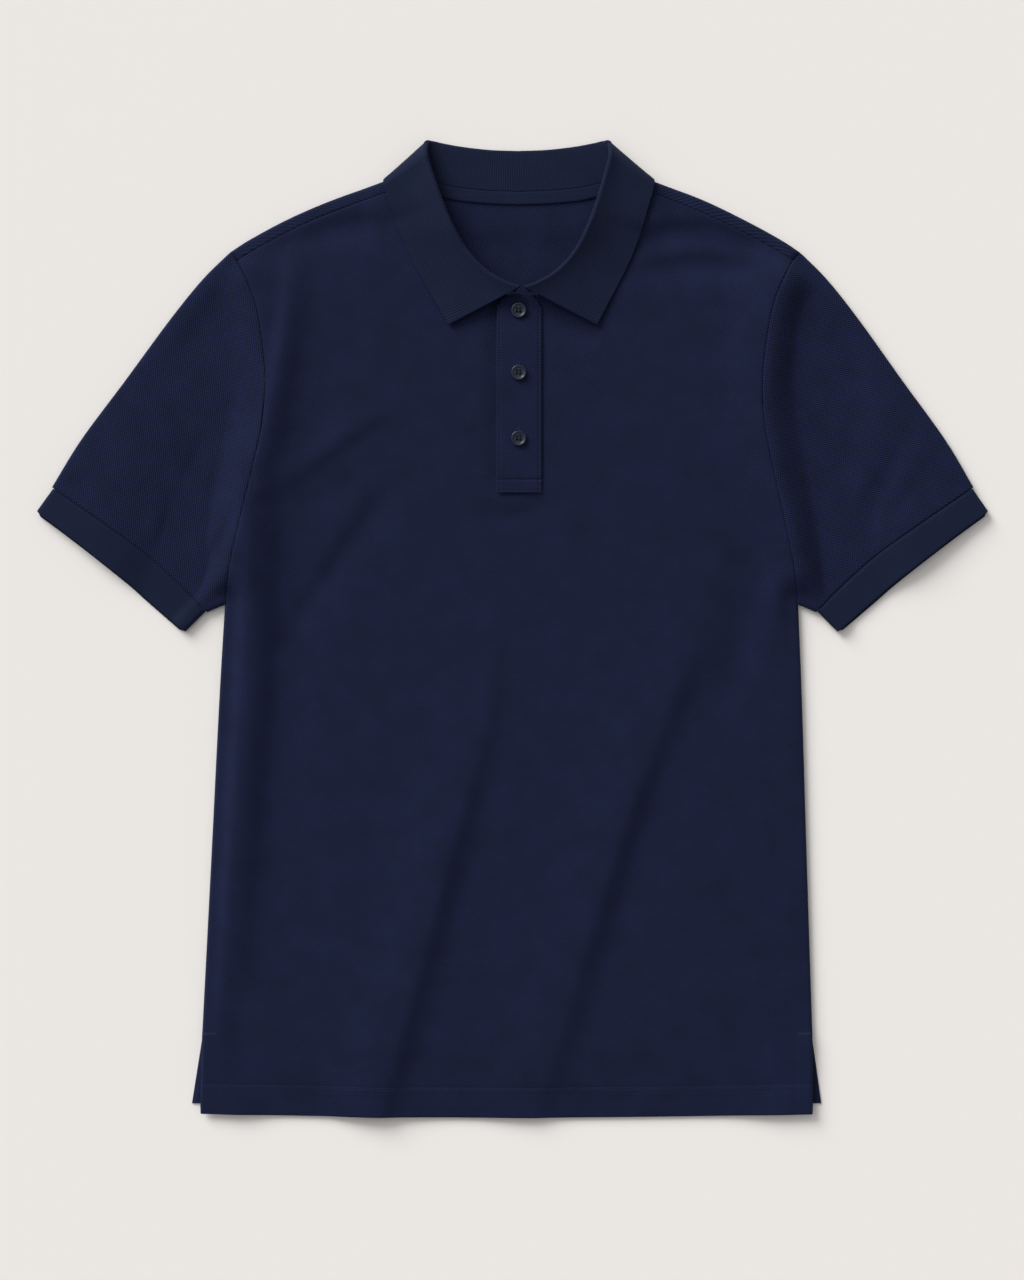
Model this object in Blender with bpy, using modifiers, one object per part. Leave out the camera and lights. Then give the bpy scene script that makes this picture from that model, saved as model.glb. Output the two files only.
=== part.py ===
"""A short-sleeved polo shirt laid out flat, face up, with its collar folded and its buttons done up.

Sizes are in millimetres, and MM turns them to metres where a mesh is made. X runs across the
shirt, Y up towards the collar and Z up off the surface, which is at 0. The cloth is worked out
in plan first, as patches between named outlines. Two height fields then lift each patch: one
for what lies on the surface, and one for what lies over it.
"""

from collections import namedtuple

import bmesh
import bpy
import numpy as np

MM = 0.001

# Walls, and the gaps between pieces
PANEL_WALL = 1.2
KNIT_WALL = 1.4
TAPE_WALL = 1.0
SEAM_GAP = 0.45
LAY_GAP = 0.3
NECK_GAP = 0.9
UNDERARM_GAP = 0.7

# How the shirt lies: the bend of its side folds, and how far the front stands off the back
FOLD_RADIUS = 2.4
FRONT_RISE = 6.0
RISE_REACH = 75.0
HEM_REACH = 28.0
SHOULDER_SEAM_FORWARD = 8.6
ROLL_DEPTHS = (0.0, 0.35, 1.1, 2.6, SHOULDER_SEAM_FORWARD)

# The collar leaf lies under the back neck and lifts it there
NECK_LIFT = 2.0
LIFT_START_Y = 302.0
LIFT_FULL_Y = 324.0
LIFT_FULL_ACROSS = 108.0
LIFT_END_ACROSS = 126.0

# The centre line of the body and of the collar: neither lies quite straight
BODY_LEAN = 0.010
BODY_LEAN_FROM_Y = 95.0
NECK_SHIFT = 2.4
NECK_SHIFT_START_Y = 325.0
NECK_SHIFT_FULL_Y = 352.0
COLLAR_CENTRE_X = 4.2
COLLAR_LEAN = -0.028
COLLAR_LEAN_FROM_Y = 390.0

# Placket and buttons
PLACKET_X = 5.5
PLACKET_WIDTH = 35.4
PLACKET_FOOT_Y = 108.4
PLACKET_TOP_Y = 267.2
PLACKET_CORNER_DROP = 15.0
SLOT_WIDTH = 29.0
SLOT_FOOT_Y = 118.0
UNDER_PLACKET_FOOT_ABOVE_SLOT = 27.0
UNDER_PLACKET_BELOW_NECK = 1.0
FRONT_NECK_Y = 267.2
BUTTON_DIAMETER = 12.4
BUTTON_THICKNESS = 2.6
BUTTON_RIM_WIDTH = 1.3
BUTTON_DISH = 0.5
BUTTON_DISH_SLOPE = 1.0
BUTTON_RIM_DROP = 0.1
BUTTON_SHOULDER = 0.5
BUTTON_BACK_BEVEL = 0.8
BUTTON_HOLE_DIAMETER = 1.9
BUTTON_HOLE_SPACING = 2.7
BUTTON_HOLES = 4
BUTTON_SEGMENTS = 24
HOLE_SEGMENTS = 8

# Hems
FRONT_HEM_Y = -388.2
FRONT_HEM_DIP = 3.2
BACK_HEM_Y = -380.5
BACK_HEM_DIP = 2.0
BODY_HALF_WIDTH = 245.0

# Rows and columns of the panels' grids
SHOULDER_COLUMNS = (0.0, 0.17, 0.34, 0.51, 0.68, 0.84, 0.962, 0.988, 1.0)
FRONT_NECK_SHARE = 0.42
BACK_NECK_SHARE = 0.36
VENT_ROWS = 2
SIDE_ROWS = 7
SLEEVE_RINGS = 7
CUFF_RINGS = 3
UNDER_PLACKET_ROWS = 8
PLACKET_ROWS = 12
PLACKET_COLUMNS = (-1.0, -0.9, -0.6, -0.2, 0.2, 0.6, 0.9, 1.0)
PLACKET_LAST_ROW_SHARE = 0.94
LEAF_SHARES = (0.3, 0.65, 1.0)
FOLD_ANGLES = (0, 45, 90, 135, 180)

# Points from each knot of a curve to the next
CURVE_STEPS = 16

Place = namedtuple("Place", "across y")

# Outlines, as seen from above: each point's distance from the centre line, and its height
SHOULDER_FOLD = [
    Place(84.0, 365.5),
    Place(105.0, 358.2),
    Place(147.6, 342.8),
    Place(182.8, 326.8),
    Place(212.4, 310.8),
    Place(228.4, 300.4),
]
ARMHOLE = [
    Place(228.4, 300.4),
    Place(222.6, 295.0),
    Place(212.9, 276.0),
    Place(205.0, 253.0),
    Place(198.6, 207.0),
    Place(199.3, 170.0),
    Place(205.5, 136.0),
    Place(219.5, 76.0),
    Place(226.3, 42.0),
    Place(229.0, 20.0),
]
SLEEVE_FOLD = [
    Place(228.4, 300.4),
    Place(250.0, 278.8),
    Place(275.6, 246.8),
    Place(310.4, 198.8),
    Place(345.6, 150.8),
    Place(368.5, 113.0),
]
UNDERARM = [Place(229.0, 20.0), Place(244.0, 13.6)]
CUFF_SEAM = [
    Place(368.5, 113.0),
    Place(345.0, 97.0),
    Place(322.0, 81.0),
    Place(293.0, 59.8),
    Place(266.5, 36.2),
    Place(244.0, 13.6),
]
CUFF_EDGE = [
    Place(380.4, 93.6),
    Place(349.6, 70.8),
    Place(308.8, 38.8),
    Place(290.4, 22.8),
    Place(261.6, -2.1),
]
CUFF_INSET = 1.4
CUFF_UNDER_REACH = 1.2
SIDE_SEAM = [Place(229.0, 20.0), Place(232.8, -57.0), Place(238.0, -185.0), Place(243.8, -323.6)]
FRONT_CORNER = Place(244.7, FRONT_HEM_Y)
BACK_CORNER = Place(252.2, BACK_HEM_Y)

# Shares of the armhole's length, from the shoulder to the underarm, where the panels and the
# sleeve have a row. The first three are on the shoulder's fold and the last two on the underarm's.
FOLD_SHARES = (0.0, 0.004, 0.012)
ARMHOLE_SHARES = (0.028, 0.12, 0.23, 0.34, 0.45, 0.56, 0.67, 0.78, 0.89, 1.0)
UNDERARM_SHARES = (0.965, 0.99)
ROWS_ABOVE_SLOT_FOOT = 6

# The collar, a row for each section from the centre back round to the centre front. Each gives
# the neck seam, the fold and the leaf's edge, with heights over the surface at the back and over
# the front panel at the front. "turn" is where the section's outer side faces, in degrees: -90
# is down and 90 is up. "bend" is the radius of the fold.
CollarSection = namedtuple(
    "CollarSection",
    "turn bend seam_across seam_y seam_z fold_across fold_y fold_z edge_across edge_y edge_z on_front",
)
COLLAR = [
    CollarSection(-90, 1.25, 0, 350.0, 3.1, 0, 382.0, 2.0, 0, 338.0, 0.7, 0),
    CollarSection(-90, 1.25, 25, 351.0, 3.1, 22, 382.8, 2.0, 38, 338.5, 0.7, 0),
    CollarSection(-88, 1.3, 50, 353.5, 3.1, 44, 385.2, 2.1, 72, 341.0, 0.7, 0),
    CollarSection(-80, 1.3, 66, 357.4, 3.1, 60, 388.0, 2.4, 92, 347.0, 0.9, 0),
    CollarSection(-55, 1.4, 78, 361.8, 4.0, 68.5, 390.2, 3.2, 103.5, 356.6, 0.9, 0),
    CollarSection(0, 1.6, 83.6, 367.2, 5.4, 72.4, 390.6, 6.4, 107.6, 362.2, 4.8, 0),
    CollarSection(65, 1.8, 79.6, 358.2, 0.2, 72.3, 378.0, 6.4, 108.4, 355.4, 2.6, 1),
    CollarSection(88, 1.9, 78.4, 342.0, 0.0, 65.8, 354.0, 9.4, 103.6, 339.4, 3.4, 1),
    CollarSection(90, 1.9, 72.0, 318.0, 0.0, 56.6, 328.0, 9.6, 96.0, 316.0, 2.6, 1),
    CollarSection(90, 1.9, 60.0, 295.0, 0.0, 44.2, 303.5, 9.2, 86.6, 293.0, 1.8, 1),
    CollarSection(90, 1.9, 43.0, 278.8, 0.0, 28.9, 286.0, 8.8, 76.0, 273.0, 1.8, 1),
    CollarSection(90, 1.9, 24.0, 271.0, 0.2, 13.6, 276.4, 9.6, 67.5, 257.6, 2.6, 1),
    CollarSection(90, 1.9, 5.0, 269.4, 1.2, 1.4, 271.8, 10.0, 59.2, 242.2, 3.4, 1),
]
NECK_POINT_ROW = 5
NECK_TAPE_WIDTH = 10.0
NECK_TAPE_ROWS = 4

# The largest folds: a ridge where rise is over 0, a trough where it is under 0. Each runs through
# three points and fades at its ends. Its widths are to the left and right of it as it runs.
Crease = namedtuple("Crease", "start middle end rise left_width right_width")
CREASES = [
    Crease((-14, -40), (-68, -240), (-125, -450), 6.0, 18, 36),
    Crease((150, 8), (80, -180), (4, -430), 5.8, 18, 36),
    Crease((-210, 116), (-214, -50), (-236, -350), 3.6, 18, 14),
    Crease((-182, 130), (-186, -30), (-212, -330), -2.0, 34, 16),
    Crease((-92, 118), (-126, 74), (-192, -24), -2.2, 18, 14),
    Crease((-164, 306), (-172, 236), (-190, 160), 2.2, 14, 14),
    Crease((96, 314), (150, 318), (196, 304), -1.8, 12, 14),
    Crease((100, 284), (154, 290), (196, 286), -1.8, 12, 14),
    Crease((204, 96), (190, 14), (166, -80), -2.6, 18, 20),
    Crease((322, 164), (282, 88), (262, 26), -1.8, 14, 14),
    Crease((-250, 132), (-258, 96), (-262, 48), -1.8, 12, 12),
]
CREASE_FADE = 0.6
CREASE_END_SHARE = 0.02
CREASE_REACH = (4.0, 20.0)
HEM_CREASE_REACH = (2.0, 40.0)
LOWEST_RISE = -2.0

# The armhole's seam allowance stands up under the seam, and the sleeve drops away from it
ARMHOLE_RIDGE = 5.4
ARMHOLE_BODY_WIDTH = 22.0
ARMHOLE_SLEEVE_DROP = 10.6
ARMHOLE_DROP_REACH = (2.0, 26.0)
ARMHOLE_DROP_END = (40.0, 110.0)
ARMHOLE_EDGE_REACH = (12.0, 40.0)

# Colours, roughness
NAVY_PIQUE = ((0.0123, 0.0160, 0.0395, 1.0), 0.92)
NAVY_RIB = ((0.0110, 0.0144, 0.0335, 1.0), 0.90)
NAVY_TAPE = ((0.0130, 0.0160, 0.0360, 1.0), 0.85)
NAVY_BUTTON = ((0.0200, 0.0230, 0.0330, 1.0), 0.30)


# --- Plan -----------------------------------------------------------------------------------


def soft_step(value, low, high):
    """0 up to low, 1 from high on, and an even slope with soft ends between."""
    t = np.clip((value - low) / (high - low), 0, 1)
    return t * t * (3 - 2 * t)


def lean(y):
    """X of the body's centre line at a height: a straight lean, and a shift where the collar is."""
    shift = NECK_SHIFT * soft_step(y, NECK_SHIFT_START_Y, NECK_SHIFT_FULL_Y)
    return BODY_LEAN * (y - BODY_LEAN_FROM_Y) + shift


def collar_centre(y):
    """X of the collar's centre line at a height."""
    return COLLAR_CENTRE_X + COLLAR_LEAN * (y - COLLAR_LEAN_FROM_Y)


def smooth_curve(points):
    """A Catmull-Rom curve through the points, with CURVE_STEPS points from each to the next."""
    knots = np.asarray(points, float)
    ends = np.vstack([2 * knots[0] - knots[1], knots, 2 * knots[-1] - knots[-2]])
    t = np.arange(CURVE_STEPS)[:, None] / CURVE_STEPS
    runs = [
        0.5 * (2 * b + (c - a) * t + (2 * a - 5 * b + 4 * c - d) * t**2 + (3 * b - a - 3 * c + d) * t**3)
        for a, b, c, d in zip(ends, ends[1:], ends[2:], ends[3:])
    ]
    return np.vstack(runs + [knots[-1:]])


def along(curve, shares):
    """Points of a curve at the given shares of its length."""
    length = np.r_[0, np.cumsum(np.linalg.norm(np.diff(curve, axis=0), axis=1))]
    wanted = np.asarray(shares) * length[-1]
    return np.stack([np.interp(wanted, length, axis) for axis in curve.T], axis=-1)


def sided(points, side, centre=lean):
    """Points given from the centre line, as X and Y on one side of it."""
    points = np.asarray(points, float)
    return np.stack([centre(points[:, 1]) + side * points[:, 0], points[:, 1]], axis=-1)


def coons(bottom, top, inner, outer, u, v):
    """The patch between four edges: a blend of bottom and top, then each side's own bend added.

    A side's bend is how far it strays from the blend of its corners. It fades with the cube of
    the distance from that side, so that it does not fold the patch at the neck.
    """
    u = np.asarray(u)[None, :, None]
    v = np.asarray(v)[:, None, None]
    rows = (1 - v) * bottom[None] + v * top[None]
    inner_bend = inner[:, None] - ((1 - v) * bottom[0] + v * top[0])
    outer_bend = outer[:, None] - ((1 - v) * bottom[-1] + v * top[-1])
    return rows + (1 - u) ** 3 * inner_bend + u**3 * outer_bend


def offsets(line, x, y):
    """Signed distance from places to a line, over 0 on its right, and the share along it."""
    line = np.asarray(line, float)
    line = line[np.r_[True, np.linalg.norm(np.diff(line, axis=0), axis=1) > 0]]
    start, step = line[:-1], np.diff(line, axis=0)
    away = np.stack([x, y], axis=-1)[..., None, :] - start
    share = np.clip((away * step).sum(-1) / (step**2).sum(-1), 0, 1)
    gap = away - share[..., None] * step
    distance = np.linalg.norm(gap, axis=-1)
    nearest = distance.argmin(-1)[..., None]
    cross = step[:, 0] * away[..., 1] - step[:, 1] * away[..., 0]
    signed = np.take_along_axis(np.where(cross > 0, -distance, distance), nearest, -1)[..., 0]
    reached = np.take_along_axis(share, nearest, -1)[..., 0] + nearest[..., 0]
    return signed, reached / len(step)


# --- Heights --------------------------------------------------------------------------------


def fold_rise(distance):
    """How far round its bend a fold has come at a distance inside its edge: 0 to 1, a quarter ellipse."""
    left = 1 - np.clip(distance / FOLD_RADIUS, 0, 1)
    return np.sqrt(1 - left**2)


def neck_lift(across, y):
    """What the leaf under the back neck adds to the cloth over it."""
    sideways = 1 - soft_step(across, LIFT_FULL_ACROSS, LIFT_END_ACROSS)
    return NECK_LIFT * soft_step(y, LIFT_START_Y, LIFT_FULL_Y) * sideways


def crease_height(x, y):
    """All the folds together: each a soft ridge or trough across its line, fading at its ends."""
    height = np.zeros_like(x)
    for crease in CREASES:
        signed, share = offsets(smooth_curve([crease.start, crease.middle, crease.end]), x, y)
        width = np.where(signed < 0, crease.left_width, crease.right_width)
        fade = np.sin(np.pi * np.clip(share, CREASE_END_SHARE, 1 - CREASE_END_SHARE)) ** CREASE_FADE
        height = height + crease.rise * np.exp(-((signed / width) ** 2)) * fade
    return height


UPPER_FOLD = np.vstack([smooth_curve(SHOULDER_FOLD), smooth_curve(SLEEVE_FOLD), [CUFF_EDGE[0]]])
LOWER_FOLD = np.vstack(
    [[CUFF_EDGE[-1]], smooth_curve(UNDERARM)[::-1], smooth_curve(SIDE_SEAM), [FRONT_CORNER]]
)


def edge_distance(across, y):
    """Distance inside the shirt's folded edges."""
    upper, _ = offsets(UPPER_FOLD, across, y)
    lower, _ = offsets(LOWER_FOLD, across, y)
    return np.minimum(np.abs(upper), np.abs(lower))


def lower_height(x, y, edge):
    """Middle of the wall that lies on the surface, bending up at a folded edge."""
    across = np.abs(x - lean(y))
    bend = FOLD_RADIUS * (1 - fold_rise(edge))
    return PANEL_WALL / 2 + neck_lift(across, y) + bend


def armhole_ridge(across, y, edge):
    """The soft ridge at the armhole: a slow slope on the body, and a drop on the sleeve."""
    signed, _ = offsets(smooth_curve(ARMHOLE), across, y)
    body = ARMHOLE_RIDGE * np.exp(-((signed / ARMHOLE_BODY_WIDTH) ** 2))
    drop = soft_step(-signed, *ARMHOLE_DROP_REACH) * (1 - soft_step(-signed, *ARMHOLE_DROP_END) / 2)
    sleeve = ARMHOLE_RIDGE - ARMHOLE_SLEEVE_DROP * drop
    return np.where(signed > 0, body, sleeve) * soft_step(edge, *ARMHOLE_EDGE_REACH)


def upper_height(x, y, edge):
    """Middle of the wall that lies over it: up round the fold, then a slow rise, with the creases."""
    across = np.abs(x - lean(y))
    inside = 1 - np.exp(-edge / RISE_REACH)
    settled = 1 - np.exp(-np.maximum(y - front_hem_y(x), 0) / RISE_REACH)
    over = FOLD_RADIUS * (1 + fold_rise(edge))
    shape = crease_height(x, y) + armhole_ridge(across, y, edge)
    rise = FRONT_RISE * inside * settled + shape * soft_step(edge, *CREASE_REACH)
    return PANEL_WALL / 2 + neck_lift(across, y) + over + np.maximum(rise, LOWEST_RISE)


def front_hem_y(x):
    """The front's hem sags a little between its corners."""
    return FRONT_HEM_Y - FRONT_HEM_DIP * (1 - (x / BODY_HALF_WIDTH) ** 2)


def front_height(x, y):
    """The front over the back: down to the back's edge at the side seams, and low at the hem."""
    across = np.abs(x - lean(y))
    edge = edge_distance(across, y)
    side, _ = offsets(SIDE_SEAM + [FRONT_CORNER], across, y)
    tucked = (FOLD_RADIUS - PANEL_WALL - LAY_GAP) * (1 - fold_rise(np.abs(side)))
    lowest = 1.5 * PANEL_WALL + LAY_GAP
    free = upper_height(x, y, edge) - tucked
    hem = np.exp(-np.maximum(y - front_hem_y(x), 0) / HEM_REACH)
    at_hem = lowest + np.maximum(crease_height(x, y), 0) * soft_step(edge, *HEM_CREASE_REACH)
    return free * (1 - hem) + at_hem * hem


# --- Making meshes --------------------------------------------------------------------------


def clear_scene():
    for thing in list(bpy.data.objects):
        bpy.data.objects.remove(thing, do_unlink=True)


def material(name, look):
    color, roughness = look
    made = bpy.data.materials.new(name)
    made.use_nodes = True
    made.diffuse_color = color
    shader = made.node_tree.nodes["Principled BSDF"]
    shader.inputs["Base Color"].default_value = color
    shader.inputs["Roughness"].default_value = roughness
    shader.inputs["Metallic"].default_value = 0.0
    return made


def new_object(name, mesh, look, collection):
    made = bpy.data.objects.new(name, mesh)
    collection.objects.link(made)
    mesh.materials.append(look)
    return made


def cloth(name, patches, wall, look, collection, rings=False):
    """One piece of cloth: its patches welded to one open surface, with Solidify for its wall."""
    soft = bmesh.new()
    for patch in patches:
        rows, columns = patch.shape[:2]
        points = [soft.verts.new(point * MM) for point in patch.reshape(-1, 3)]
        for row in range(rows - 1):
            for column in range(columns - (0 if rings else 1)):
                after = (column + 1) % columns
                corners = (row * columns + column, row * columns + after)
                facing = (corners[1] + columns, corners[0] + columns)
                soft.faces.new([points[index] for index in corners + facing])
    bmesh.ops.remove_doubles(soft, verts=soft.verts, dist=0.01 * MM)
    bmesh.ops.recalc_face_normals(soft, faces=soft.faces)
    mesh = bpy.data.meshes.new(name)
    soft.to_mesh(mesh)
    soft.free()
    mesh.shade_smooth()
    made = new_object(name, mesh, look, collection)
    solidify = made.modifiers.new("wall", "SOLIDIFY")
    solidify.thickness = wall * MM
    solidify.offset = 0.0
    return made


def lifted(plan, height):
    """A patch in plan with its heights."""
    return np.concatenate([plan, height[..., None]], axis=-1)


# --- Panels ---------------------------------------------------------------------------------


def neck_seam(rows, side, gap):
    """The collar's seam at some of its sections, moved out by a gap to the panel that it joins."""
    table = sided([(row.seam_across, row.seam_y) for row in rows], side, collar_centre)
    step = np.gradient(table, axis=0)
    outward = np.stack([step[:, 1], -step[:, 0]], axis=-1) * side
    return table + gap * outward / np.linalg.norm(outward, axis=1)[:, None]


def armhole_rows(shares, side):
    return along(sided(smooth_curve(ARMHOLE), side), shares)


def side_rows(corner, side):
    """From the hem's corner up the vent and the side seam to the underarm."""
    vent = np.array([corner, SIDE_SEAM[-1]])
    seam = smooth_curve(SIDE_SEAM)[::-1]
    vent_rows = along(vent, np.linspace(0, 1, VENT_ROWS + 1))[:-1]
    seam_rows = along(seam, np.linspace(0, 1, SIDE_ROWS + 1))[:-1]
    return sided(np.vstack([vent_rows, seam_rows]), side)


def split_shares(neck_columns, shoulder_columns, neck_share):
    """Columns for an edge of two parts: evenly along the neck, then as given along the shoulder."""
    neck = np.linspace(0, neck_share, neck_columns + 1)
    return np.r_[neck[:-1], neck_share + (1 - neck_share) * np.array(shoulder_columns)]


def length_shares(line):
    steps = np.linalg.norm(np.diff(line, axis=0), axis=1)
    return np.r_[0, np.cumsum(steps)] / steps.sum()


def shoulder_seam(side, forward, columns):
    """The shoulder's fold, or a line that lies forward of it on the front, from neck to armhole."""
    fold = along(smooth_curve(SHOULDER_FOLD), columns)
    armhole = smooth_curve(ARMHOLE)
    step = np.gradient(fold, axis=0)
    inward = np.stack([step[:, 1], -step[:, 0]], axis=-1)
    inward /= np.linalg.norm(inward, axis=1)[:, None]
    line = fold + inward * forward
    end = along(armhole, [ARMHOLE_SHARES[0] * forward / SHOULDER_SEAM_FORWARD])[0]
    line = line + (end - line[-1]) * np.linspace(0, 1, len(line))[:, None] ** 4
    return sided(line, side)


def front_half(side):
    """Half of the front: hem, side and armhole, shoulder and neck, and the placket's slot."""
    shares = np.array(ARMHOLE_SHARES[::-1])
    outer = np.vstack([side_rows(FRONT_CORNER, side), armhole_rows(shares, side)])
    v = length_shares(outer)
    underarm_row = VENT_ROWS + SIDE_ROWS
    slot_row = len(outer) - 1 - ROWS_ABOVE_SLOT_FOOT
    rows = [0, VENT_ROWS, underarm_row, slot_row, len(outer) - 1]
    heights = [front_hem_y(lean(FRONT_HEM_Y)), SIDE_SEAM[-1].y, UNDERARM[0].y, SLOT_FOOT_Y, FRONT_NECK_Y]
    inner_y = np.interp(np.arange(len(outer)), rows, heights)
    start_x = lean(FRONT_HEM_Y)
    inner_x = np.interp(inner_y, [heights[0], SLOT_FOOT_Y], [start_x, PLACKET_X])
    inner_x[slot_row + 1 :] = PLACKET_X + side * SLOT_WIDTH / 2
    inner = np.stack([inner_x, inner_y], axis=-1)

    neck = neck_seam(COLLAR[:NECK_POINT_ROW:-1], side, NECK_GAP)
    neck[0] = inner[-1]
    seam = shoulder_seam(side, SHOULDER_SEAM_FORWARD + SEAM_GAP, SHOULDER_COLUMNS)
    top = np.vstack([neck[:-1], seam])
    top[-1] = outer[-1]
    u = split_shares(len(neck) - 1, SHOULDER_COLUMNS, FRONT_NECK_SHARE)
    bottom_x = inner[0, 0] + (outer[0, 0] - inner[0, 0]) * u
    bottom = np.stack([bottom_x, front_hem_y(bottom_x)], axis=-1)
    inner[0] = bottom[0]
    outer[0] = bottom[-1]
    plan = coons(bottom, top, inner, outer, u, v)
    return lifted(plan, front_height(plan[..., 0], plan[..., 1]))


def back_half(side):
    """Half of the back on the surface, up to the neck seam and to the fold of the shoulder."""
    shares = np.array(ARMHOLE_SHARES[::-1] + FOLD_SHARES[::-1])
    outer = np.vstack([side_rows(BACK_CORNER, side), armhole_rows(shares, side)])
    v = length_shares(outer)
    underarm_row = VENT_ROWS + SIDE_ROWS
    rows = [0, VENT_ROWS, underarm_row, len(outer) - 1]
    neck_y = COLLAR[0].seam_y - NECK_GAP
    heights = [BACK_HEM_Y - BACK_HEM_DIP, SIDE_SEAM[-1].y, UNDERARM[0].y, neck_y]
    inner_y = np.interp(v, v[rows], heights)
    start_x, end_x = lean(BACK_HEM_Y), collar_centre(COLLAR[0].seam_y)
    inner_x = np.interp(inner_y, [heights[0], heights[-1]], [start_x, end_x])
    inner = np.stack([inner_x, inner_y], axis=-1)

    neck = neck_seam(COLLAR[: NECK_POINT_ROW + 1], side, NECK_GAP)
    fold = shoulder_seam(side, 0.0, SHOULDER_COLUMNS)
    top = np.vstack([neck[:-1], fold])
    top[0] = inner[-1]
    top[-1] = outer[-1]
    u = split_shares(len(neck) - 1, SHOULDER_COLUMNS, BACK_NECK_SHARE)
    bottom_x = inner[0, 0] + (outer[0, 0] - inner[0, 0]) * u
    dip = BACK_HEM_DIP * (1 - ((bottom_x - start_x) / BACK_CORNER.across) ** 2)
    bottom = np.stack([bottom_x, BACK_HEM_Y - dip], axis=-1)
    plan = coons(bottom, top, inner, outer, u, v)
    across = np.abs(plan[..., 0] - lean(plan[..., 1]))
    edge, _ = offsets(smooth_curve(SHOULDER_FOLD), across, plan[..., 1])
    edge = np.abs(edge)
    edge[-1, NECK_POINT_ROW:] = 0.0
    return lifted(plan, lower_height(plan[..., 0], plan[..., 1], edge))


def shoulder_roll(side):
    """The strip of the back that comes over the shoulder's fold to the forward seam."""
    strips = []
    for depth in ROLL_DEPTHS:
        line = shoulder_seam(side, depth, SHOULDER_COLUMNS)
        distance = np.full(len(line), depth)
        strips.append(lifted(line, upper_height(line[:, 0], line[:, 1], distance)))
    return np.stack(strips)


# --- Sleeves and cuffs ----------------------------------------------------------------------


def ring_shares():
    return np.array(sorted(set(FOLD_SHARES + ARMHOLE_SHARES + UNDERARM_SHARES)))


def flattened_tube(plan, side, edge, under_shift):
    """Each row of the plan as a closed ring: its lower wall out to the underarm, its upper wall back."""
    x, y = plan[..., 0], plan[..., 1]
    lower = lifted(plan + under_shift, lower_height(x, y, edge))
    upper = lifted(plan, upper_height(x, y, edge))
    middle = (lower[:, [0, -1], 2] + upper[:, [0, -1], 2]) / 2
    lower[:, [0, -1], 2] = middle
    upper[:, [0, -1], 2] = middle
    return np.concatenate([lower, upper[:, -2:0:-1]], axis=1)


def sleeve(side, look, collection, name):
    shares = ring_shares()
    armhole = along(sided(smooth_curve(ARMHOLE), side), shares)
    armhole[:, 0] += side * (SEAM_GAP + UNDERARM_GAP * shares**12)
    seam = along(sided(smooth_curve(CUFF_SEAM), side), shares)
    rings = np.linspace(0, 1, SLEEVE_RINGS + 1)
    fold = along(sided(smooth_curve(SLEEVE_FOLD), side), rings)
    underarm = along(sided(np.array(UNDERARM), side), rings)
    fold[0], fold[-1] = armhole[0], seam[0]
    underarm[0], underarm[-1] = armhole[-1], seam[-1]
    plan = coons(armhole, seam, fold, underarm, shares, rings)
    edge = distance_in_rows(plan)
    tube = flattened_tube(plan, side, edge, np.zeros(2))
    return cloth(name, [tube], PANEL_WALL, look, collection, rings=True)


def distance_in_rows(plan):
    """Distance of each place from the nearer end of its row, along the row."""
    steps = np.linalg.norm(np.diff(plan, axis=1), axis=-1)
    run = np.concatenate([np.zeros((len(plan), 1)), np.cumsum(steps, axis=1)], axis=1)
    return np.minimum(run, run[:, -1:] - run)


def cuff(side, look, collection, name):
    shares = ring_shares()
    seam = along(sided(smooth_curve(CUFF_SEAM), side), shares)
    edge_line = along(sided(smooth_curve(CUFF_EDGE), side), shares)
    down = edge_line - seam
    down /= np.linalg.norm(down, axis=1)[:, None]
    run = seam[-1] - seam[0]
    run /= np.linalg.norm(run)
    inset = CUFF_INSET * (1 - 2 * shares)[:, None] * run
    start = seam + down * SEAM_GAP + inset
    rings = np.linspace(0, 1, CUFF_RINGS + 1)[:, None, None]
    plan = start * (1 - rings) + edge_line * rings
    edge = distance_in_rows(plan)
    under_shift = down[None] * CUFF_UNDER_REACH * rings
    under_shift[:, [0, -1]] = 0.0
    tube = flattened_tube(plan, side, edge, under_shift)
    tube[..., 2] += (KNIT_WALL - PANEL_WALL) / 2
    return cloth(name, [tube], KNIT_WALL, look, collection, rings=True)


# --- Collar, tape and placket ---------------------------------------------------------------


def collar_sections(side):
    """Sections of the collar on one side: seam, stand, half turn at the fold, then the leaf."""
    sections = []
    for row in COLLAR:
        seam = seat(side, row.seam_across, row.seam_y, row.seam_z, row.on_front)
        fold = seat(side, row.fold_across, row.fold_y, row.fold_z, row.on_front)
        edge = seat(side, row.edge_across, row.edge_y, row.edge_z, row.on_front)
        turn = np.radians(row.turn)
        outward = np.array([side * np.cos(turn), 0.0, np.sin(turn)])
        up = fold - (seam + edge) / 2
        up -= outward * up.dot(outward)
        up /= np.linalg.norm(up)
        centre = fold - up * row.bend
        angles = np.radians(FOLD_ANGLES)[:, None]
        half_turn = centre + row.bend * (np.sin(angles) * up - np.cos(angles) * outward)
        stand = seam + (half_turn[0] - seam) * np.array([0, 0.5])[:, None]
        leaf = half_turn[-1] + (edge - half_turn[-1]) * np.array(LEAF_SHARES)[:, None]
        sections.append(np.vstack([stand, half_turn, leaf]))
    return np.stack(sections)


def seat(side, across, y, height, on_front):
    """A point of the collar, with its height taken from the front's where it lies over it."""
    x = collar_centre(y) + side * across
    plan_across = np.abs(x - lean(y))
    edge = np.maximum(edge_distance(plan_across, y), FOLD_RADIUS)
    over = upper_height(np.array(x), np.array(y), np.array(edge))
    return np.array([x, y, height + np.clip(on_front, 0, 1) * float(over)])


def collar(look, collection):
    left, right = collar_sections(-1), collar_sections(1)
    whole = np.concatenate([left[::-1], right[1:]])
    return cloth("collar", [whole], KNIT_WALL, look, collection)


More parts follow.
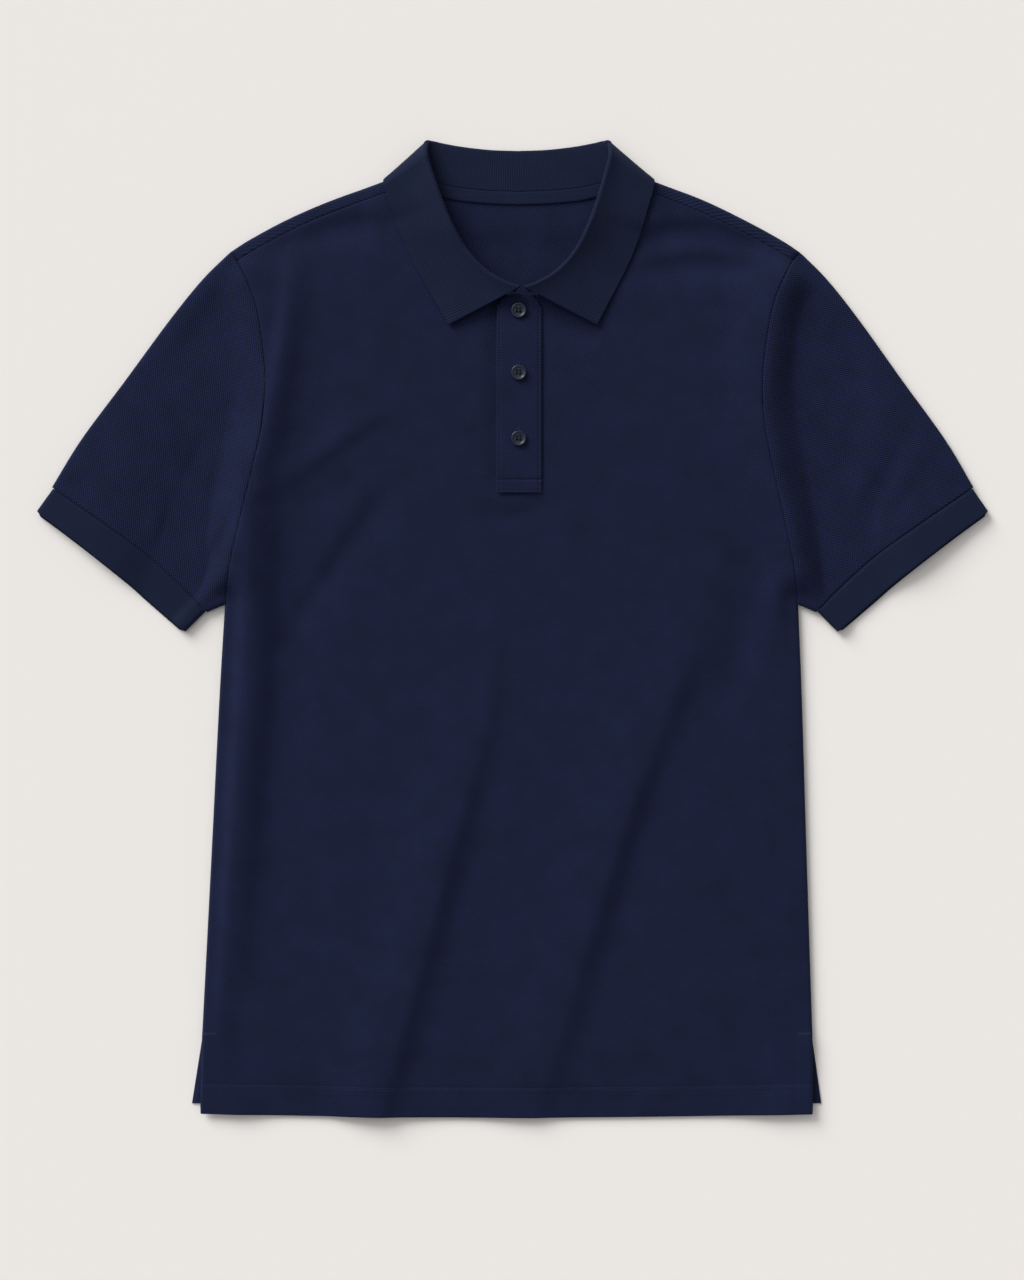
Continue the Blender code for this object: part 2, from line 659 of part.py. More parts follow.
def neck_tape(look, collection):
    """A band that follows the back neck seam on the inside."""
    rows = COLLAR[:NECK_TAPE_ROWS]
    left = neck_seam(rows, -1, NECK_GAP)[::-1]
    right = neck_seam(rows, 1, NECK_GAP)[1:]
    upper = np.vstack([left, right])
    rows = [upper - [0, NECK_TAPE_WIDTH * share] for share in (0, 0.5, 1)]
    plan = np.stack(rows)
    edge = np.full(plan.shape[:2], 2 * FOLD_RADIUS)
    height = lower_height(plan[..., 0], plan[..., 1], edge)
    height = height + PANEL_WALL / 2 + LAY_GAP + TAPE_WALL / 2
    return cloth("neck_tape", [lifted(plan, height)], TAPE_WALL, look, collection)


def placket_top_y(x):
    """The placket's upper edge: level at its middle, rounded down to its corners."""
    out = np.abs(x - PLACKET_X) / (PLACKET_WIDTH / 2)
    return PLACKET_TOP_Y - PLACKET_CORNER_DROP * (1 - np.sqrt(1 - np.clip(out, 0, 1) ** 3))


def placket(look, collection):
    half = PLACKET_WIDTH / 2
    x = PLACKET_X + half * np.array(PLACKET_COLUMNS)
    share = np.r_[np.linspace(0, PLACKET_LAST_ROW_SHARE, PLACKET_ROWS), 1.0]
    y = PLACKET_FOOT_Y + share[:, None] * (placket_top_y(x) - PLACKET_FOOT_Y)
    plan = np.stack([np.broadcast_to(x, y.shape), y], axis=-1)
    height = front_height(plan[..., 0], plan[..., 1]) + PANEL_WALL + LAY_GAP
    return cloth("placket", [lifted(plan, height)], PANEL_WALL, look, collection)


def placket_under(look, collection):
    half = SLOT_WIDTH / 2 - SEAM_GAP
    x = PLACKET_X + np.linspace(-half, half, 4)
    foot = SLOT_FOOT_Y + UNDER_PLACKET_FOOT_ABOVE_SLOT
    y = np.linspace(foot, FRONT_NECK_Y - UNDER_PLACKET_BELOW_NECK, UNDER_PLACKET_ROWS + 1)
    plan = np.stack(np.meshgrid(x, y), axis=-1)
    height = front_height(plan[..., 0], plan[..., 1])
    return cloth("placket_under", [lifted(plan, height)], PANEL_WALL, look, collection)


# --- Buttons --------------------------------------------------------------------------------


def button_profile():
    """Radius and height down the outer side of a button: dish, rim, edge and flat back."""
    radius = BUTTON_DIAMETER / 2
    top = BUTTON_THICKNESS
    rim = radius - BUTTON_RIM_WIDTH
    return [
        (0.0, top - BUTTON_DISH),
        (rim - BUTTON_DISH_SLOPE, top - BUTTON_DISH),
        (rim, top - BUTTON_RIM_DROP),
        (radius - BUTTON_SHOULDER, top),
        (radius, top - BUTTON_BACK_BEVEL),
        (radius, BUTTON_BACK_BEVEL),
        (radius - BUTTON_BACK_BEVEL, 0.0),
        (0.0, 0.0),
    ]


def button(name, x, y, look, collection, cutters):
    """A turned disc with four holes, lying on the placket."""
    base = float(front_height(np.array(x), np.array(y))) + 1.5 * PANEL_WALL + 2 * LAY_GAP
    mesh = bpy.data.meshes.new(name)
    profile = [(radius * MM, 0.0, height * MM) for radius, height in button_profile()]
    mesh.from_pydata(profile, [(i, i + 1) for i in range(len(profile) - 1)], [])
    made = new_object(name, mesh, look, collection)
    made.location = (x * MM, y * MM, base * MM)
    screw = made.modifiers.new("turn", "SCREW")
    screw.steps = BUTTON_SEGMENTS
    screw.render_steps = BUTTON_SEGMENTS
    screw.use_merge_vertices = True
    screw.merge_threshold = 0.00001
    for hole in range(BUTTON_HOLES):
        angle = np.pi / 4 + hole * 2 * np.pi / BUTTON_HOLES
        reach = BUTTON_HOLE_SPACING / np.sqrt(2)
        place = (x + reach * np.cos(angle), y + reach * np.sin(angle), base + BUTTON_THICKNESS / 2)
        bpy.ops.mesh.primitive_cylinder_add(
            vertices=HOLE_SEGMENTS,
            radius=BUTTON_HOLE_DIAMETER / 2 * MM,
            depth=2 * BUTTON_THICKNESS * MM,
            location=[value * MM for value in place],
        )
        cutter = bpy.context.object
        cutter.name = f"{name}_hole_{hole + 1}"
        for owner in list(cutter.users_collection):
            owner.objects.unlink(cutter)
        cutters.objects.link(cutter)
        cutter.hide_render = True
        cutter.display_type = "WIRE"
        cut = made.modifiers.new(f"hole_{hole + 1}", "BOOLEAN")
        cut.operation = "DIFFERENCE"
        cut.object = cutter
        cut.solver = "EXACT"
    return made


Button = namedtuple("Button", "name x y")
BUTTONS = [
    Button("button_top", 5.1, 253.9),
    Button("button_middle", 5.1, 204.1),
    Button("button_bottom", 4.9, 151.6),
]


def main():
    clear_scene()
    shirt = bpy.data.collections.new("polo_shirt")
    cutters = bpy.data.collections.new("cutters")
    for collection in (shirt, cutters):
        bpy.context.scene.collection.children.link(collection)
    pieces = (
        "front",
        "back",
        "sleeve_left",
        "sleeve_right",
        "placket",
        "placket_under",
    )
    pique = {name: material("pique_" + name, NAVY_PIQUE) for name in pieces}
    rib = {name: material("rib_" + name, NAVY_RIB) for name in ("collar", "cuff_left", "cuff_right")}

    cloth("front", [front_half(-1), front_half(1)], PANEL_WALL, pique["front"], shirt)
    back = [back_half(-1), back_half(1), shoulder_roll(-1), shoulder_roll(1)]
    cloth("back", back, PANEL_WALL, pique["back"], shirt)
    for word, side in (("left", -1), ("right", 1)):
        sleeve(side, pique["sleeve_" + word], shirt, "sleeve_" + word)
        cuff(side, rib["cuff_" + word], shirt, "cuff_" + word)
    collar(rib["collar"], shirt)
    neck_tape(material("tape_neck", NAVY_TAPE), shirt)
    placket(pique["placket"], shirt)
    placket_under(pique["placket_under"], shirt)
    for row in BUTTONS:
        button(row.name, row.x, row.y, material("resin_" + row.name, NAVY_BUTTON), shirt, cutters)


main()
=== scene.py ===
"""The looks of a short-sleeved polo shirt, laid out flat, face up, on a pale surface.

Sizes are in millimetres, and MM turns them to metres where a mesh is made. X runs across the
shirt, Y up towards the collar and Z up off the surface. Each piece of cloth is worked out in
plan as a patch between its outlines, and lifted by one height field for what lies on the
surface and another for what lies over it. Seams, folds and creases are part of those fields.
"""

from collections import namedtuple

import bmesh
import bpy
import numpy as np
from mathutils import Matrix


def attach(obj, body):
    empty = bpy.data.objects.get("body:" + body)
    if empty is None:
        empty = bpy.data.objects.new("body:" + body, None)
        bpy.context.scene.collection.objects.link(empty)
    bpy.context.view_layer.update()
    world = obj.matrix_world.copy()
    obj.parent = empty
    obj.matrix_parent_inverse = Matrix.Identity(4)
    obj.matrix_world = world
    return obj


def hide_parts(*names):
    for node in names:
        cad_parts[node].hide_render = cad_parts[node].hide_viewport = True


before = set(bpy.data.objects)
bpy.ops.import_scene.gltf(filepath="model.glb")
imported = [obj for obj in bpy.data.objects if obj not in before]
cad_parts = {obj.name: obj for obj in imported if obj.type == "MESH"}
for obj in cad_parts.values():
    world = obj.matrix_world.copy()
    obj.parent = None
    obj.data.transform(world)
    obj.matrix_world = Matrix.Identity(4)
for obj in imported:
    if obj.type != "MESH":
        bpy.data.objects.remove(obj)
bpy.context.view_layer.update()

MM = 0.001
WELD = 0.01

# --- Sizes ----------------------------------------------------------------------------------

PANEL_WALL = 1.2
KNIT_WALL = 1.4
TAPE_WALL = 1.0
SEAM_GAP = 0.5
CUFF_GAP = 0.7
NECK_GAP = 0.5
LAY_GAP = 0.3

FOLD_RADIUS = 2.4
FRONT_RISE = 6.0
RISE_REACH = 75.0
HEM_REACH = 28.0
SHOULDER_SEAM_FORWARD = 8.6

NECK_LIFT = 2.0
LIFT_START_Y = 302.0
LIFT_FULL_Y = 324.0
LIFT_FULL_ACROSS = 108.0
LIFT_END_ACROSS = 126.0

BODY_LEAN = 0.010
BODY_LEAN_FROM_Y = 95.0
NECK_SHIFT = 2.4
NECK_SHIFT_START_Y = 325.0
NECK_SHIFT_FULL_Y = 352.0
COLLAR_CENTRE_X = 4.2
COLLAR_LEAN = -0.028
COLLAR_LEAN_FROM_Y = 390.0

PLACKET_X = 5.5
PLACKET_WIDTH = 35.4
PLACKET_FOOT_Y = 108.4
PLACKET_TOP_Y = 267.2
PLACKET_CORNER_DROP = 15.0
PLACKET_EDGE_STITCH = 2.2
PLACKET_BOX_HEIGHT = 10.4
PLACKET_LIFT = 0.5
PLACKET_DIP = 1.6
PLACKET_DIP_WIDTH = 6.0
FOOT_STITCH = 1.6
SLOT_WIDTH = 29.0
SLOT_FOOT_Y = 118.0
UNDER_PLACKET_ABOVE_SLOT = 8.0
UNDER_PLACKET_BELOW_NECK = 1.0
FRONT_NECK_Y = 267.2

LEAF_SAG = 1.7

BUTTON_DIAMETER = 12.4
BUTTON_THICKNESS = 2.6
BUTTON_DISH = 0.55
BUTTON_HOLE_DIAMETER = 1.9
BUTTON_HOLE_SPACING = 2.7
BUTTON_HOLE_DEPTH = 1.5
BUTTON_HOLES = 4
BUTTON_X = 5.0
BUTTONS = {"button_top": 253.9, "button_middle": 204.1, "button_bottom": 151.6}
BUTTONHOLE_LENGTH = 15.0
BUTTONHOLE_HALF_WIDTH = 0.62

FRONT_HEM_Y = -388.2
FRONT_HEM_DIP = 3.2
BACK_HEM_Y = -380.5
BACK_HEM_DIP = 2.0
BODY_HALF_WIDTH = 245.0
HEM_DEPTH = 23.5
HEM_NEEDLES_APART = 5.0
VENT_DEPTH = 11.0
VENT_LIFT = 1.6

THREAD_WIDTH = 0.38
STITCH_LENGTH = 2.3
STITCH_PITCH = 2.9

# Light through a window and from the wall round it: width, height above the surface and heading
# from the left, in degrees, then strength
Light = namedtuple("Light", "name width height heading strength")
LIGHTS = [Light("window", 32.0, 27.0, 51.0, 3.15), Light("wall", 80.0, 46.0, 51.0, 1.1)]
FILL_STRENGTH = 0.35

Place = namedtuple("Place", "across y")

# Outlines from above: each point's distance from the centre line, and its height
SHOULDER_FOLD = [
    Place(84.0, 365.5),
    Place(105.0, 358.2),
    Place(147.6, 342.8),
    Place(182.8, 326.8),
    Place(212.4, 310.8),
    Place(228.4, 300.4),
]
ARMHOLE = [
    Place(228.4, 300.4),
    Place(222.6, 295.0),
    Place(212.9, 276.0),
    Place(205.0, 253.0),
    Place(198.6, 207.0),
    Place(199.3, 170.0),
    Place(205.5, 136.0),
    Place(219.5, 76.0),
    Place(226.3, 42.0),
    Place(229.0, 20.0),
]
SLEEVE_FOLD = [
    Place(228.4, 300.4),
    Place(250.0, 278.8),
    Place(275.6, 246.8),
    Place(310.4, 198.8),
    Place(345.6, 150.8),
    Place(368.5, 113.0),
]
UNDERARM = [Place(229.0, 20.0), Place(244.0, 13.6)]
CUFF_SEAM = [
    Place(368.5, 113.0),
    Place(345.0, 97.0),
    Place(322.0, 81.0),
    Place(293.0, 59.8),
    Place(266.5, 36.2),
    Place(244.0, 13.6),
]
CUFF_EDGE = [
    Place(380.4, 93.6),
    Place(349.6, 70.8),
    Place(308.8, 38.8),
    Place(290.4, 22.8),
    Place(261.6, -2.1),
]
CUFF_DEPTH = 22.5
CUFF_INSET = 1.4
CUFF_UNDER_REACH = 2.0
SIDE_SEAM = [Place(229.0, 20.0), Place(232.8, -57.0), Place(238.0, -185.0), Place(243.8, -323.6)]
FRONT_CORNER = Place(244.7, FRONT_HEM_Y)
BACK_CORNER = Place(252.2, BACK_HEM_Y)
FORWARD_SEAM_SHARE = 0.028

CollarSection = namedtuple(
    "CollarSection",
    "turn bend seam_across seam_y seam_z fold_across fold_y fold_z edge_across edge_y edge_z on_front",
)
COLLAR = [
    CollarSection(-90, 1.25, 0, 350.0, 3.1, 0, 382.0, 2.0, 0, 338.0, 0.7, 0),
    CollarSection(-90, 1.25, 25, 351.0, 3.1, 22, 382.8, 2.0, 38, 338.5, 0.7, 0),
    CollarSection(-88, 1.3, 50, 353.5, 3.1, 44, 385.2, 2.1, 72, 341.0, 0.7, 0),
    CollarSection(-80, 1.3, 66, 357.4, 3.1, 60, 388.0, 2.4, 92, 347.0, 0.9, 0),
    CollarSection(-55, 1.4, 78, 361.8, 4.0, 68.6, 389.6, 4.4, 103.0, 355.2, 0.9, 0),
    CollarSection(0, 1.6, 83.6, 367.2, 5.4, 73.2, 388.6, 8.6, 107.0, 359.6, 6.0, 0),
    CollarSection(65, 1.8, 79.6, 358.2, 0.2, 72.6, 377.0, 8.4, 108.0, 353.6, 4.2, 1),
    CollarSection(88, 1.9, 78.4, 342.0, 0.0, 65.8, 354.0, 9.4, 103.6, 339.4, 3.4, 1),
    CollarSection(90, 1.9, 72.0, 318.0, 0.0, 56.6, 328.0, 9.6, 96.0, 316.0, 2.6, 1),
    CollarSection(90, 1.9, 60.0, 295.0, 0.0, 44.2, 303.5, 9.2, 86.6, 293.0, 1.8, 1),
    CollarSection(90, 1.9, 43.0, 278.8, 0.0, 28.9, 286.0, 8.8, 76.0, 273.0, 1.8, 1),
    CollarSection(90, 1.9, 24.0, 271.0, 0.2, 13.6, 276.4, 9.6, 67.5, 257.6, 2.6, 1),
    CollarSection(90, 1.9, 5.0, 269.4, 1.2, 1.4, 271.8, 10.0, 59.2, 242.2, 3.4, 1),
]
NECK_POINT_ROW = 5
STEPS_EACH_ROW = 6
NECK_TAPE_WIDTH = 10.0
NECK_TAPE_ROWS = 4
NECK_TAPE_STITCH = 1.3

# Folds and creases, each through three points: a ridge where rise is over 0, else a trough. The
# widths are to the left and right of the line as it runs, and both ends fade out.
Crease = namedtuple("Crease", "start middle end rise left_width right_width")
CREASES = [
    # the two long folds of the lower front, and a hollow beside the right one
    Crease((-14, -40), (-68, -240), (-125, -450), 6.2, 12, 36),
    Crease((150, 8), (80, -180), (4, -430), 4.8, 12, 36),
    Crease((176, 0), (112, -140), (58, -340), -1.6, 24, 14),
    Crease((-17, 30), (-18, -30), (-22, -100), 0.7, 7, 12),
    # left side, from the armpit down
    Crease((-206, 104), (-213, -50), (-236, -350), 6.8, 21, 12),
    Crease((-182, 140), (-186, -30), (-212, -330), -3.2, 34, 12),
    Crease((-92, 118), (-126, 74), (-192, -24), -2.9, 15, 8),
    # left chest
    Crease((-100, 178), (-138, 150), (-192, 112), 2.6, 7, 13),
    Crease((-104, 136), (-140, 112), (-182, 92), -0.9, 10, 8),
    # beside the left armhole
    Crease((-174, 312), (-184, 220), (-206, 116), 5.2, 13, 8),
    # left shoulder, below its seam
    Crease((-84, 324), (-128, 322), (-186, 306), -4.0, 14, 8),
    # right shoulder
    Crease((96, 314), (150, 318), (206, 302), -5.0, 7, 12),
    Crease((100, 284), (154, 292), (204, 286), -3.6, 8, 12),
    Crease((180, 286), (184, 246), (186, 206), 1.2, 8, 10),
    # right chest
    Crease((138, 172), (170, 142), (204, 100), 1.3, 8, 9),
    Crease((204, 96), (190, 14), (166, -80), -3.4, 16, 20),
    # sleeves
    Crease((-252, 142), (-261, 108), (-278, 66), -3.6, 7, 6),
    Crease((-220, 102), (-232, 70), (-256, 30), -3.2, 7, 7),
    Crease((-286, 128), (-284, 92), (-292, 62), 1.1, 7, 9),
    Crease((322, 164), (282, 88), (262, 26), -1.9, 9, 8),
    Crease((292, 176), (276, 112), (254, 58), 1.0, 11, 12),
    Crease((330, 130), (318, 108), (300, 84), -1.0, 7, 7),
    # below the placket
    Crease((-30, 92), (0, 90), (34, 98), -1.5, 6, 9),
    # under the front edge of the right leaf
    Crease((-4, 266), (34, 248), (72, 232), -3.2, 7, 12),
    # above the hem
    Crease((-232, -262), (-222, -306), (-214, -370), -2.0, 12, 12),
    Crease((-176, -300), (-156, -344), (-150, -420), -1.6, 14, 16),
    Crease((176, -300), (190, -346), (196, -420), -1.6, 16, 16),
]
CREASE_FADE = 0.6
CREASE_END_SHARE = 0.02

# The armhole's seam stands up, and the sleeve drops away from it, both less at the upper left
ARMHOLE_RIDGE = 7.6
ARMHOLE_BODY_WIDTH = 22.0
ARMHOLE_SLEEVE_DROP = 15.4
ARMHOLE_DROP_REACH = (2, 31)
ARMHOLE_DROP_END = (40, 110)
ARMHOLE_LEFT_LOSS = 0.6
ARMHOLE_LEFT_LOSS_Y = (60, 230)
ARMHOLE_EDGE_REACH = (3, 26)

# Troughs go no lower than this against the fold's top, and flatten softly there
LOWEST_RISE = -0.9 * FOLD_RADIUS
LOWEST_SOFTNESS = 0.4

# Seams and stitch rows: how deep the cloth dips into each, and over what width
SeamDip = namedtuple("SeamDip", "depth width")
ARMHOLE_BODY_DIP = SeamDip(1.5, 1.8)
ARMHOLE_SLEEVE_DIP = SeamDip(1.6, 1.8)
CUFF_SLEEVE_DIP = SeamDip(1.5, 1.3)
CUFF_BAND_DIP = SeamDip(1.9, 1.4)
CUFF_EDGE_DIP = SeamDip(0.4, 1.0)
SHOULDER_DIP = SeamDip(0.6, 1.6)
SHOULDER_ROLL_DIP = SeamDip(0.6, 1.4)
HEM_EDGE_DIP = SeamDip(0.5, 1.2)
PLACKET_SEWN_DIP = SeamDip(1.2, 2.0)
PLACKET_FOLD_DIP = SeamDip(0.3, 0.8)
HEM_TURN_THICKNESS = 0.45

# Where the front's hem stands off the surface: place, half width and height
HemLift = namedtuple("HemLift", "x width lift")
HEM_LIFTS = [
    HemLift(-222, 22, 3.4),
    HemLift(-104, 34, 3.0),
    HemLift(10, 30, 1.6),
    HemLift(216, 30, 4.2),
]

RIPPLE_HEIGHT = 0.2
RIPPLE_LENGTH = 62.0
RIPPLE_STRETCHES = (0.6, 1.7)
RIPPLE_WAVES = 9
RIPPLE_SEED = 7


# --- Plan -----------------------------------------------------------------------------------


def soft_step(value, low, high):
    """0 up to low, 1 from high on, and an even slope with soft ends between."""
    t = np.clip((value - low) / (high - low), 0, 1)
    return t * t * (3 - 2 * t)


def lean(y):
    """X of the body's centre line at a height: a straight lean, and a shift where the collar is."""
    shift = NECK_SHIFT * soft_step(y, NECK_SHIFT_START_Y, NECK_SHIFT_FULL_Y)
    return BODY_LEAN * (y - BODY_LEAN_FROM_Y) + shift


def collar_centre(y):
    """X of the collar's centre line at a height."""
    return COLLAR_CENTRE_X + COLLAR_LEAN * (y - COLLAR_LEAN_FROM_Y)


def smooth_curve(points, steps=16):
    """A Catmull-Rom curve through the points: each run is a cubic that leaves a point along the
    line between its neighbours."""
    knots = np.asarray(points, float)
    ends = np.vstack([2 * knots[0] - knots[1], knots, 2 * knots[-1] - knots[-2]])
    t = np.linspace(0, 1, steps + 1)[:-1, None]
    runs = [
        0.5 * (2 * b + (c - a) * t + (2 * a - 5 * b + 4 * c - d) * t**2 + (3 * b - a - 3 * c + d) * t**3)
        for a, b, c, d in zip(ends, ends[1:], ends[2:], ends[3:])
    ]
    return np.vstack(runs + [knots[-1:]])


def run_length(line):
    """Length along a line up to each of its points."""
    return np.r_[0, np.cumsum(np.linalg.norm(np.diff(line, axis=0), axis=1))]


def along(curve, shares):
    """Points of a curve at the given shares of its length."""
    length = run_length(curve)
    wanted = np.asarray(shares) * length[-1]
    return np.stack([np.interp(wanted, length, axis) for axis in curve.T], axis=-1)


def sided(points, side, centre=lean):
    """Points given from the centre line, as X and Y on one side of it."""
    points = np.asarray(points, float)
    return np.stack([centre(points[:, 1]) + side * points[:, 0], points[:, 1]], axis=-1)


def coons(bottom, top, inner, outer, u, v):
    """The patch between four edges: a blend of bottom and top, then each side's own bend added,
    fading with the cube of the distance from that side."""
    u = np.asarray(u)[None, :, None]
    v = np.asarray(v)[:, None, None]
    rows = (1 - v) * bottom[None] + v * top[None]
    inner_bend = inner[:, None] - ((1 - v) * bottom[0] + v * top[0])
    outer_bend = outer[:, None] - ((1 - v) * bottom[-1] + v * top[-1])
    return rows + (1 - u) ** 3 * inner_bend + u**3 * outer_bend


def offsets(line, x, y):
    """Signed distance from places to a line, over 0 on its right, and the share along it."""
    line = np.asarray(line, float)
    line = line[np.r_[True, np.linalg.norm(np.diff(line, axis=0), axis=1) > 0]]
    x, y = np.asarray(x, float), np.asarray(y, float)
    best = np.full(x.shape, np.inf)
    signed = np.zeros(x.shape)
    share = np.zeros(x.shape)
    for index, (start, step) in enumerate(zip(line[:-1], np.diff(line, axis=0))):
        across, up = x - start[0], y - start[1]
        part = np.clip((across * step[0] + up * step[1]) / (step @ step), 0, 1)
        gap = np.hypot(across - part * step[0], up - part * step[1])
        nearer = gap < best
        best = np.where(nearer, gap, best)
        cross = step[0] * up - step[1] * across
        signed = np.where(nearer, np.where(cross > 0, -gap, gap), signed)
        share = np.where(nearer, (index + part) / (len(line) - 1), share)
    return signed, share


def clustered(length, spacing, near_start=(), near_end=()):
    """Shares of a length, evenly spaced, with more at given distances from its two ends."""
    even = np.linspace(0, length, int(np.ceil(length / spacing)) + 1)
    low = max(near_start, default=0)
    high = length - max(near_end, default=0)
    even = even[(even > low + spacing / 2) & (even < high - spacing / 2)]
    places = np.r_[0, near_start, even, length - np.array(near_end, float), length]
    return np.unique(np.round(places / length, 7))


# --- Heights --------------------------------------------------------------------------------


def fold_rise(distance, radius=FOLD_RADIUS):
    """How far round its bend a fold has come at a distance inside its edge: a quarter ellipse."""
    left = 1 - np.clip(distance / radius, 0, 1)
    return np.sqrt(1 - left**2)


def neck_lift(across, y):
    """What the leaf under the back neck adds to the cloth over it."""
    sideways = 1 - soft_step(across, LIFT_FULL_ACROSS, LIFT_END_ACROSS)
    return NECK_LIFT * soft_step(y, LIFT_START_Y, LIFT_FULL_Y) * sideways


def ripples(x, y):
    """Slight unevenness of cloth that lies loose: a sum of sine waves in all directions."""
    draw = np.random.default_rng(RIPPLE_SEED)
    height = np.zeros_like(x)
    for _ in range(RIPPLE_WAVES):
        heading = draw.uniform(0, np.pi)
        phase = draw.uniform(0, 2 * np.pi)
        stretch = draw.uniform(*RIPPLE_STRETCHES)
        wave = 2 * np.pi / (RIPPLE_LENGTH * stretch)
        height += stretch * np.sin(wave * (x * np.cos(heading) + y * np.sin(heading)) + phase)
    return RIPPLE_HEIGHT * height / np.sqrt(RIPPLE_WAVES)


def crease_height(x, y):
    """All the folds together: each a soft ridge or trough across its line, fading at its ends."""
    height = np.zeros_like(x)
    for crease in CREASES:
        signed, share = offsets(smooth_curve([crease.start, crease.middle, crease.end], 7), x, y)
        width = np.where(signed < 0, crease.left_width, crease.right_width)
        fade = np.sin(np.pi * np.clip(share, CREASE_END_SHARE, 1 - CREASE_END_SHARE)) ** CREASE_FADE
        height = height + crease.rise * np.exp(-((signed / width) ** 2)) * fade
    return height


SHOULDER_CURVE = smooth_curve(SHOULDER_FOLD, 6)
ARMHOLE_CURVE = smooth_curve(ARMHOLE, 16)
UPPER_FOLD = np.vstack([SHOULDER_CURVE, smooth_curve(SLEEVE_FOLD, 6), [CUFF_EDGE[0]]])
LOWER_FOLD = np.vstack([[CUFF_EDGE[-1]], UNDERARM[::-1], smooth_curve(SIDE_SEAM, 8), [FRONT_CORNER]])


def edge_distance(across, y):
    """Distance inside the shirt's folded edges."""
    upper, _ = offsets(UPPER_FOLD, across, y)
    lower, _ = offsets(LOWER_FOLD, across, y)
    return np.minimum(np.abs(upper), np.abs(lower))


def lower_height(x, y, edge):
    """Middle of the wall that lies on the surface, bending up at a folded edge."""
    across = np.abs(x - lean(y))
    return PANEL_WALL / 2 + neck_lift(across, y) + FOLD_RADIUS * (1 - fold_rise(edge))


def front_hem_y(x):
    """The front's hem sags a little between its corners."""
    return FRONT_HEM_Y - FRONT_HEM_DIP * (1 - (x / BODY_HALF_WIDTH) ** 2)


def armhole_ridge(x, across, y, edge):
    """The ridge of the armhole's seam.

    It is a bell curve on the body, and on the sleeve a soft step down, half taken back further out.
    """
    signed, _ = offsets(ARMHOLE_CURVE[::4], across, y)
    body = ARMHOLE_RIDGE * np.exp(-((signed / ARMHOLE_BODY_WIDTH) ** 2))
    drop = soft_step(-signed, *ARMHOLE_DROP_REACH) * (1 - 0.5 * soft_step(-signed, *ARMHOLE_DROP_END))
    sleeve = ARMHOLE_RIDGE - ARMHOLE_SLEEVE_DROP * drop
    kept = 1 - ARMHOLE_LEFT_LOSS * (x < 0) * soft_step(y, *ARMHOLE_LEFT_LOSS_Y)
    return np.where(signed > 0, body, sleeve) * kept * soft_step(edge, *ARMHOLE_EDGE_REACH)


def upper_height(x, y, edge):
    """Middle of the wall that lies over it: up round the fold, then a slow rise, with the creases."""
    across = np.abs(x - lean(y))
    inside = 1 - np.exp(-edge / RISE_REACH)
    settled = 1 - np.exp(-np.maximum(y - front_hem_y(x), 0) / RISE_REACH)
    over = FOLD_RADIUS * (1 + fold_rise(edge))
    shape = crease_height(x, y) + ripples(x, y) + armhole_ridge(x, across, y, edge)
    rise = FRONT_RISE * inside * settled + shape * soft_step(edge, 2, 16)
    rise = LOWEST_RISE + LOWEST_SOFTNESS * np.logaddexp(0, (rise - LOWEST_RISE) / LOWEST_SOFTNESS)
    return PANEL_WALL / 2 + neck_lift(across, y) + over + rise * soft_step(edge, 0, 4)


def seam_roll(distance, dip):
    """How far an edge dips into its seam: a quarter round."""
    return dip.depth * (1 - fold_rise(distance, dip.width))


def stitch_line(distance, depth=0.35, width=1.1):
    """The groove that a row of stitches pulls into the cloth."""
    return depth * np.exp(-((distance / width) ** 2))


def front_height(x, y, detail=True):
    """The front over the back: down to the back's edge at the sides, and low at the hem."""
    across = np.abs(x - lean(y))
    edge = edge_distance(across, y)
    side, _ = offsets(SIDE_SEAM + [FRONT_CORNER], across, y)
    side = np.abs(side)
    tucked = (FOLD_RADIUS - PANEL_WALL - LAY_GAP) * (1 - fold_rise(side))
    lowest = 1.5 * PANEL_WALL + LAY_GAP
    free = upper_height(x, y, edge) - tucked
    above_hem = np.maximum(y - front_hem_y(x), 0)
    hem = np.exp(-above_hem / HEM_REACH)
    lifts = sum(row.lift * np.exp(-(((x - row.x) / row.width) ** 2)) for row in HEM_LIFTS)
    at_hem = lowest + np.maximum(crease_height(x, y), 0) * soft_step(edge, 2, 40) + lifts
    height = free * (1 - hem) + at_hem * hem
    if not detail:
        return height
    height = height + HEM_TURN_THICKNESS * (1 - soft_step(above_hem, HEM_DEPTH - 1.5, HEM_DEPTH + 0.5))
    height -= stitch_line(above_hem - HEM_DEPTH) + stitch_line(above_hem - HEM_DEPTH + HEM_NEEDLES_APART)
    vent = 1 - soft_step(y, SIDE_SEAM[-1].y - 4, SIDE_SEAM[-1].y + 4)
    height -= stitch_line(side - VENT_DEPTH) * vent
    height += VENT_LIFT * vent * np.exp(-((side / VENT_DEPTH) ** 2))
    height -= seam_roll(above_hem, HEM_EDGE_DIP)
    beside = np.abs(x - PLACKET_X) - PLACKET_WIDTH / 2 - 1
    beside_placket = soft_step(y, PLACKET_FOOT_Y - 6, PLACKET_FOOT_Y + 12)
    dip = np.where(x < PLACKET_X, PLACKET_DIP, PLACKET_DIP / 4)
    height -= dip * np.exp(-((beside / PLACKET_DIP_WIDTH) ** 2)) * beside_placket
    armhole, _ = offsets(ARMHOLE_CURVE[::4], across, y)
    return height - seam_roll(np.abs(armhole), ARMHOLE_BODY_DIP)


# --- Making meshes --------------------------------------------------------------------------


def grid_faces(rows, columns, closed):
    """Corner numbers of a grid's faces, row by row."""
    column = np.arange(columns if closed else columns - 1)
    row = np.arange(rows - 1)[:, None] * columns
    after = (column + 1) % columns
    corners = [row + column, row + after, row + after + columns, row + column + columns]
    return np.stack(corners, -1).reshape(-1, 4)


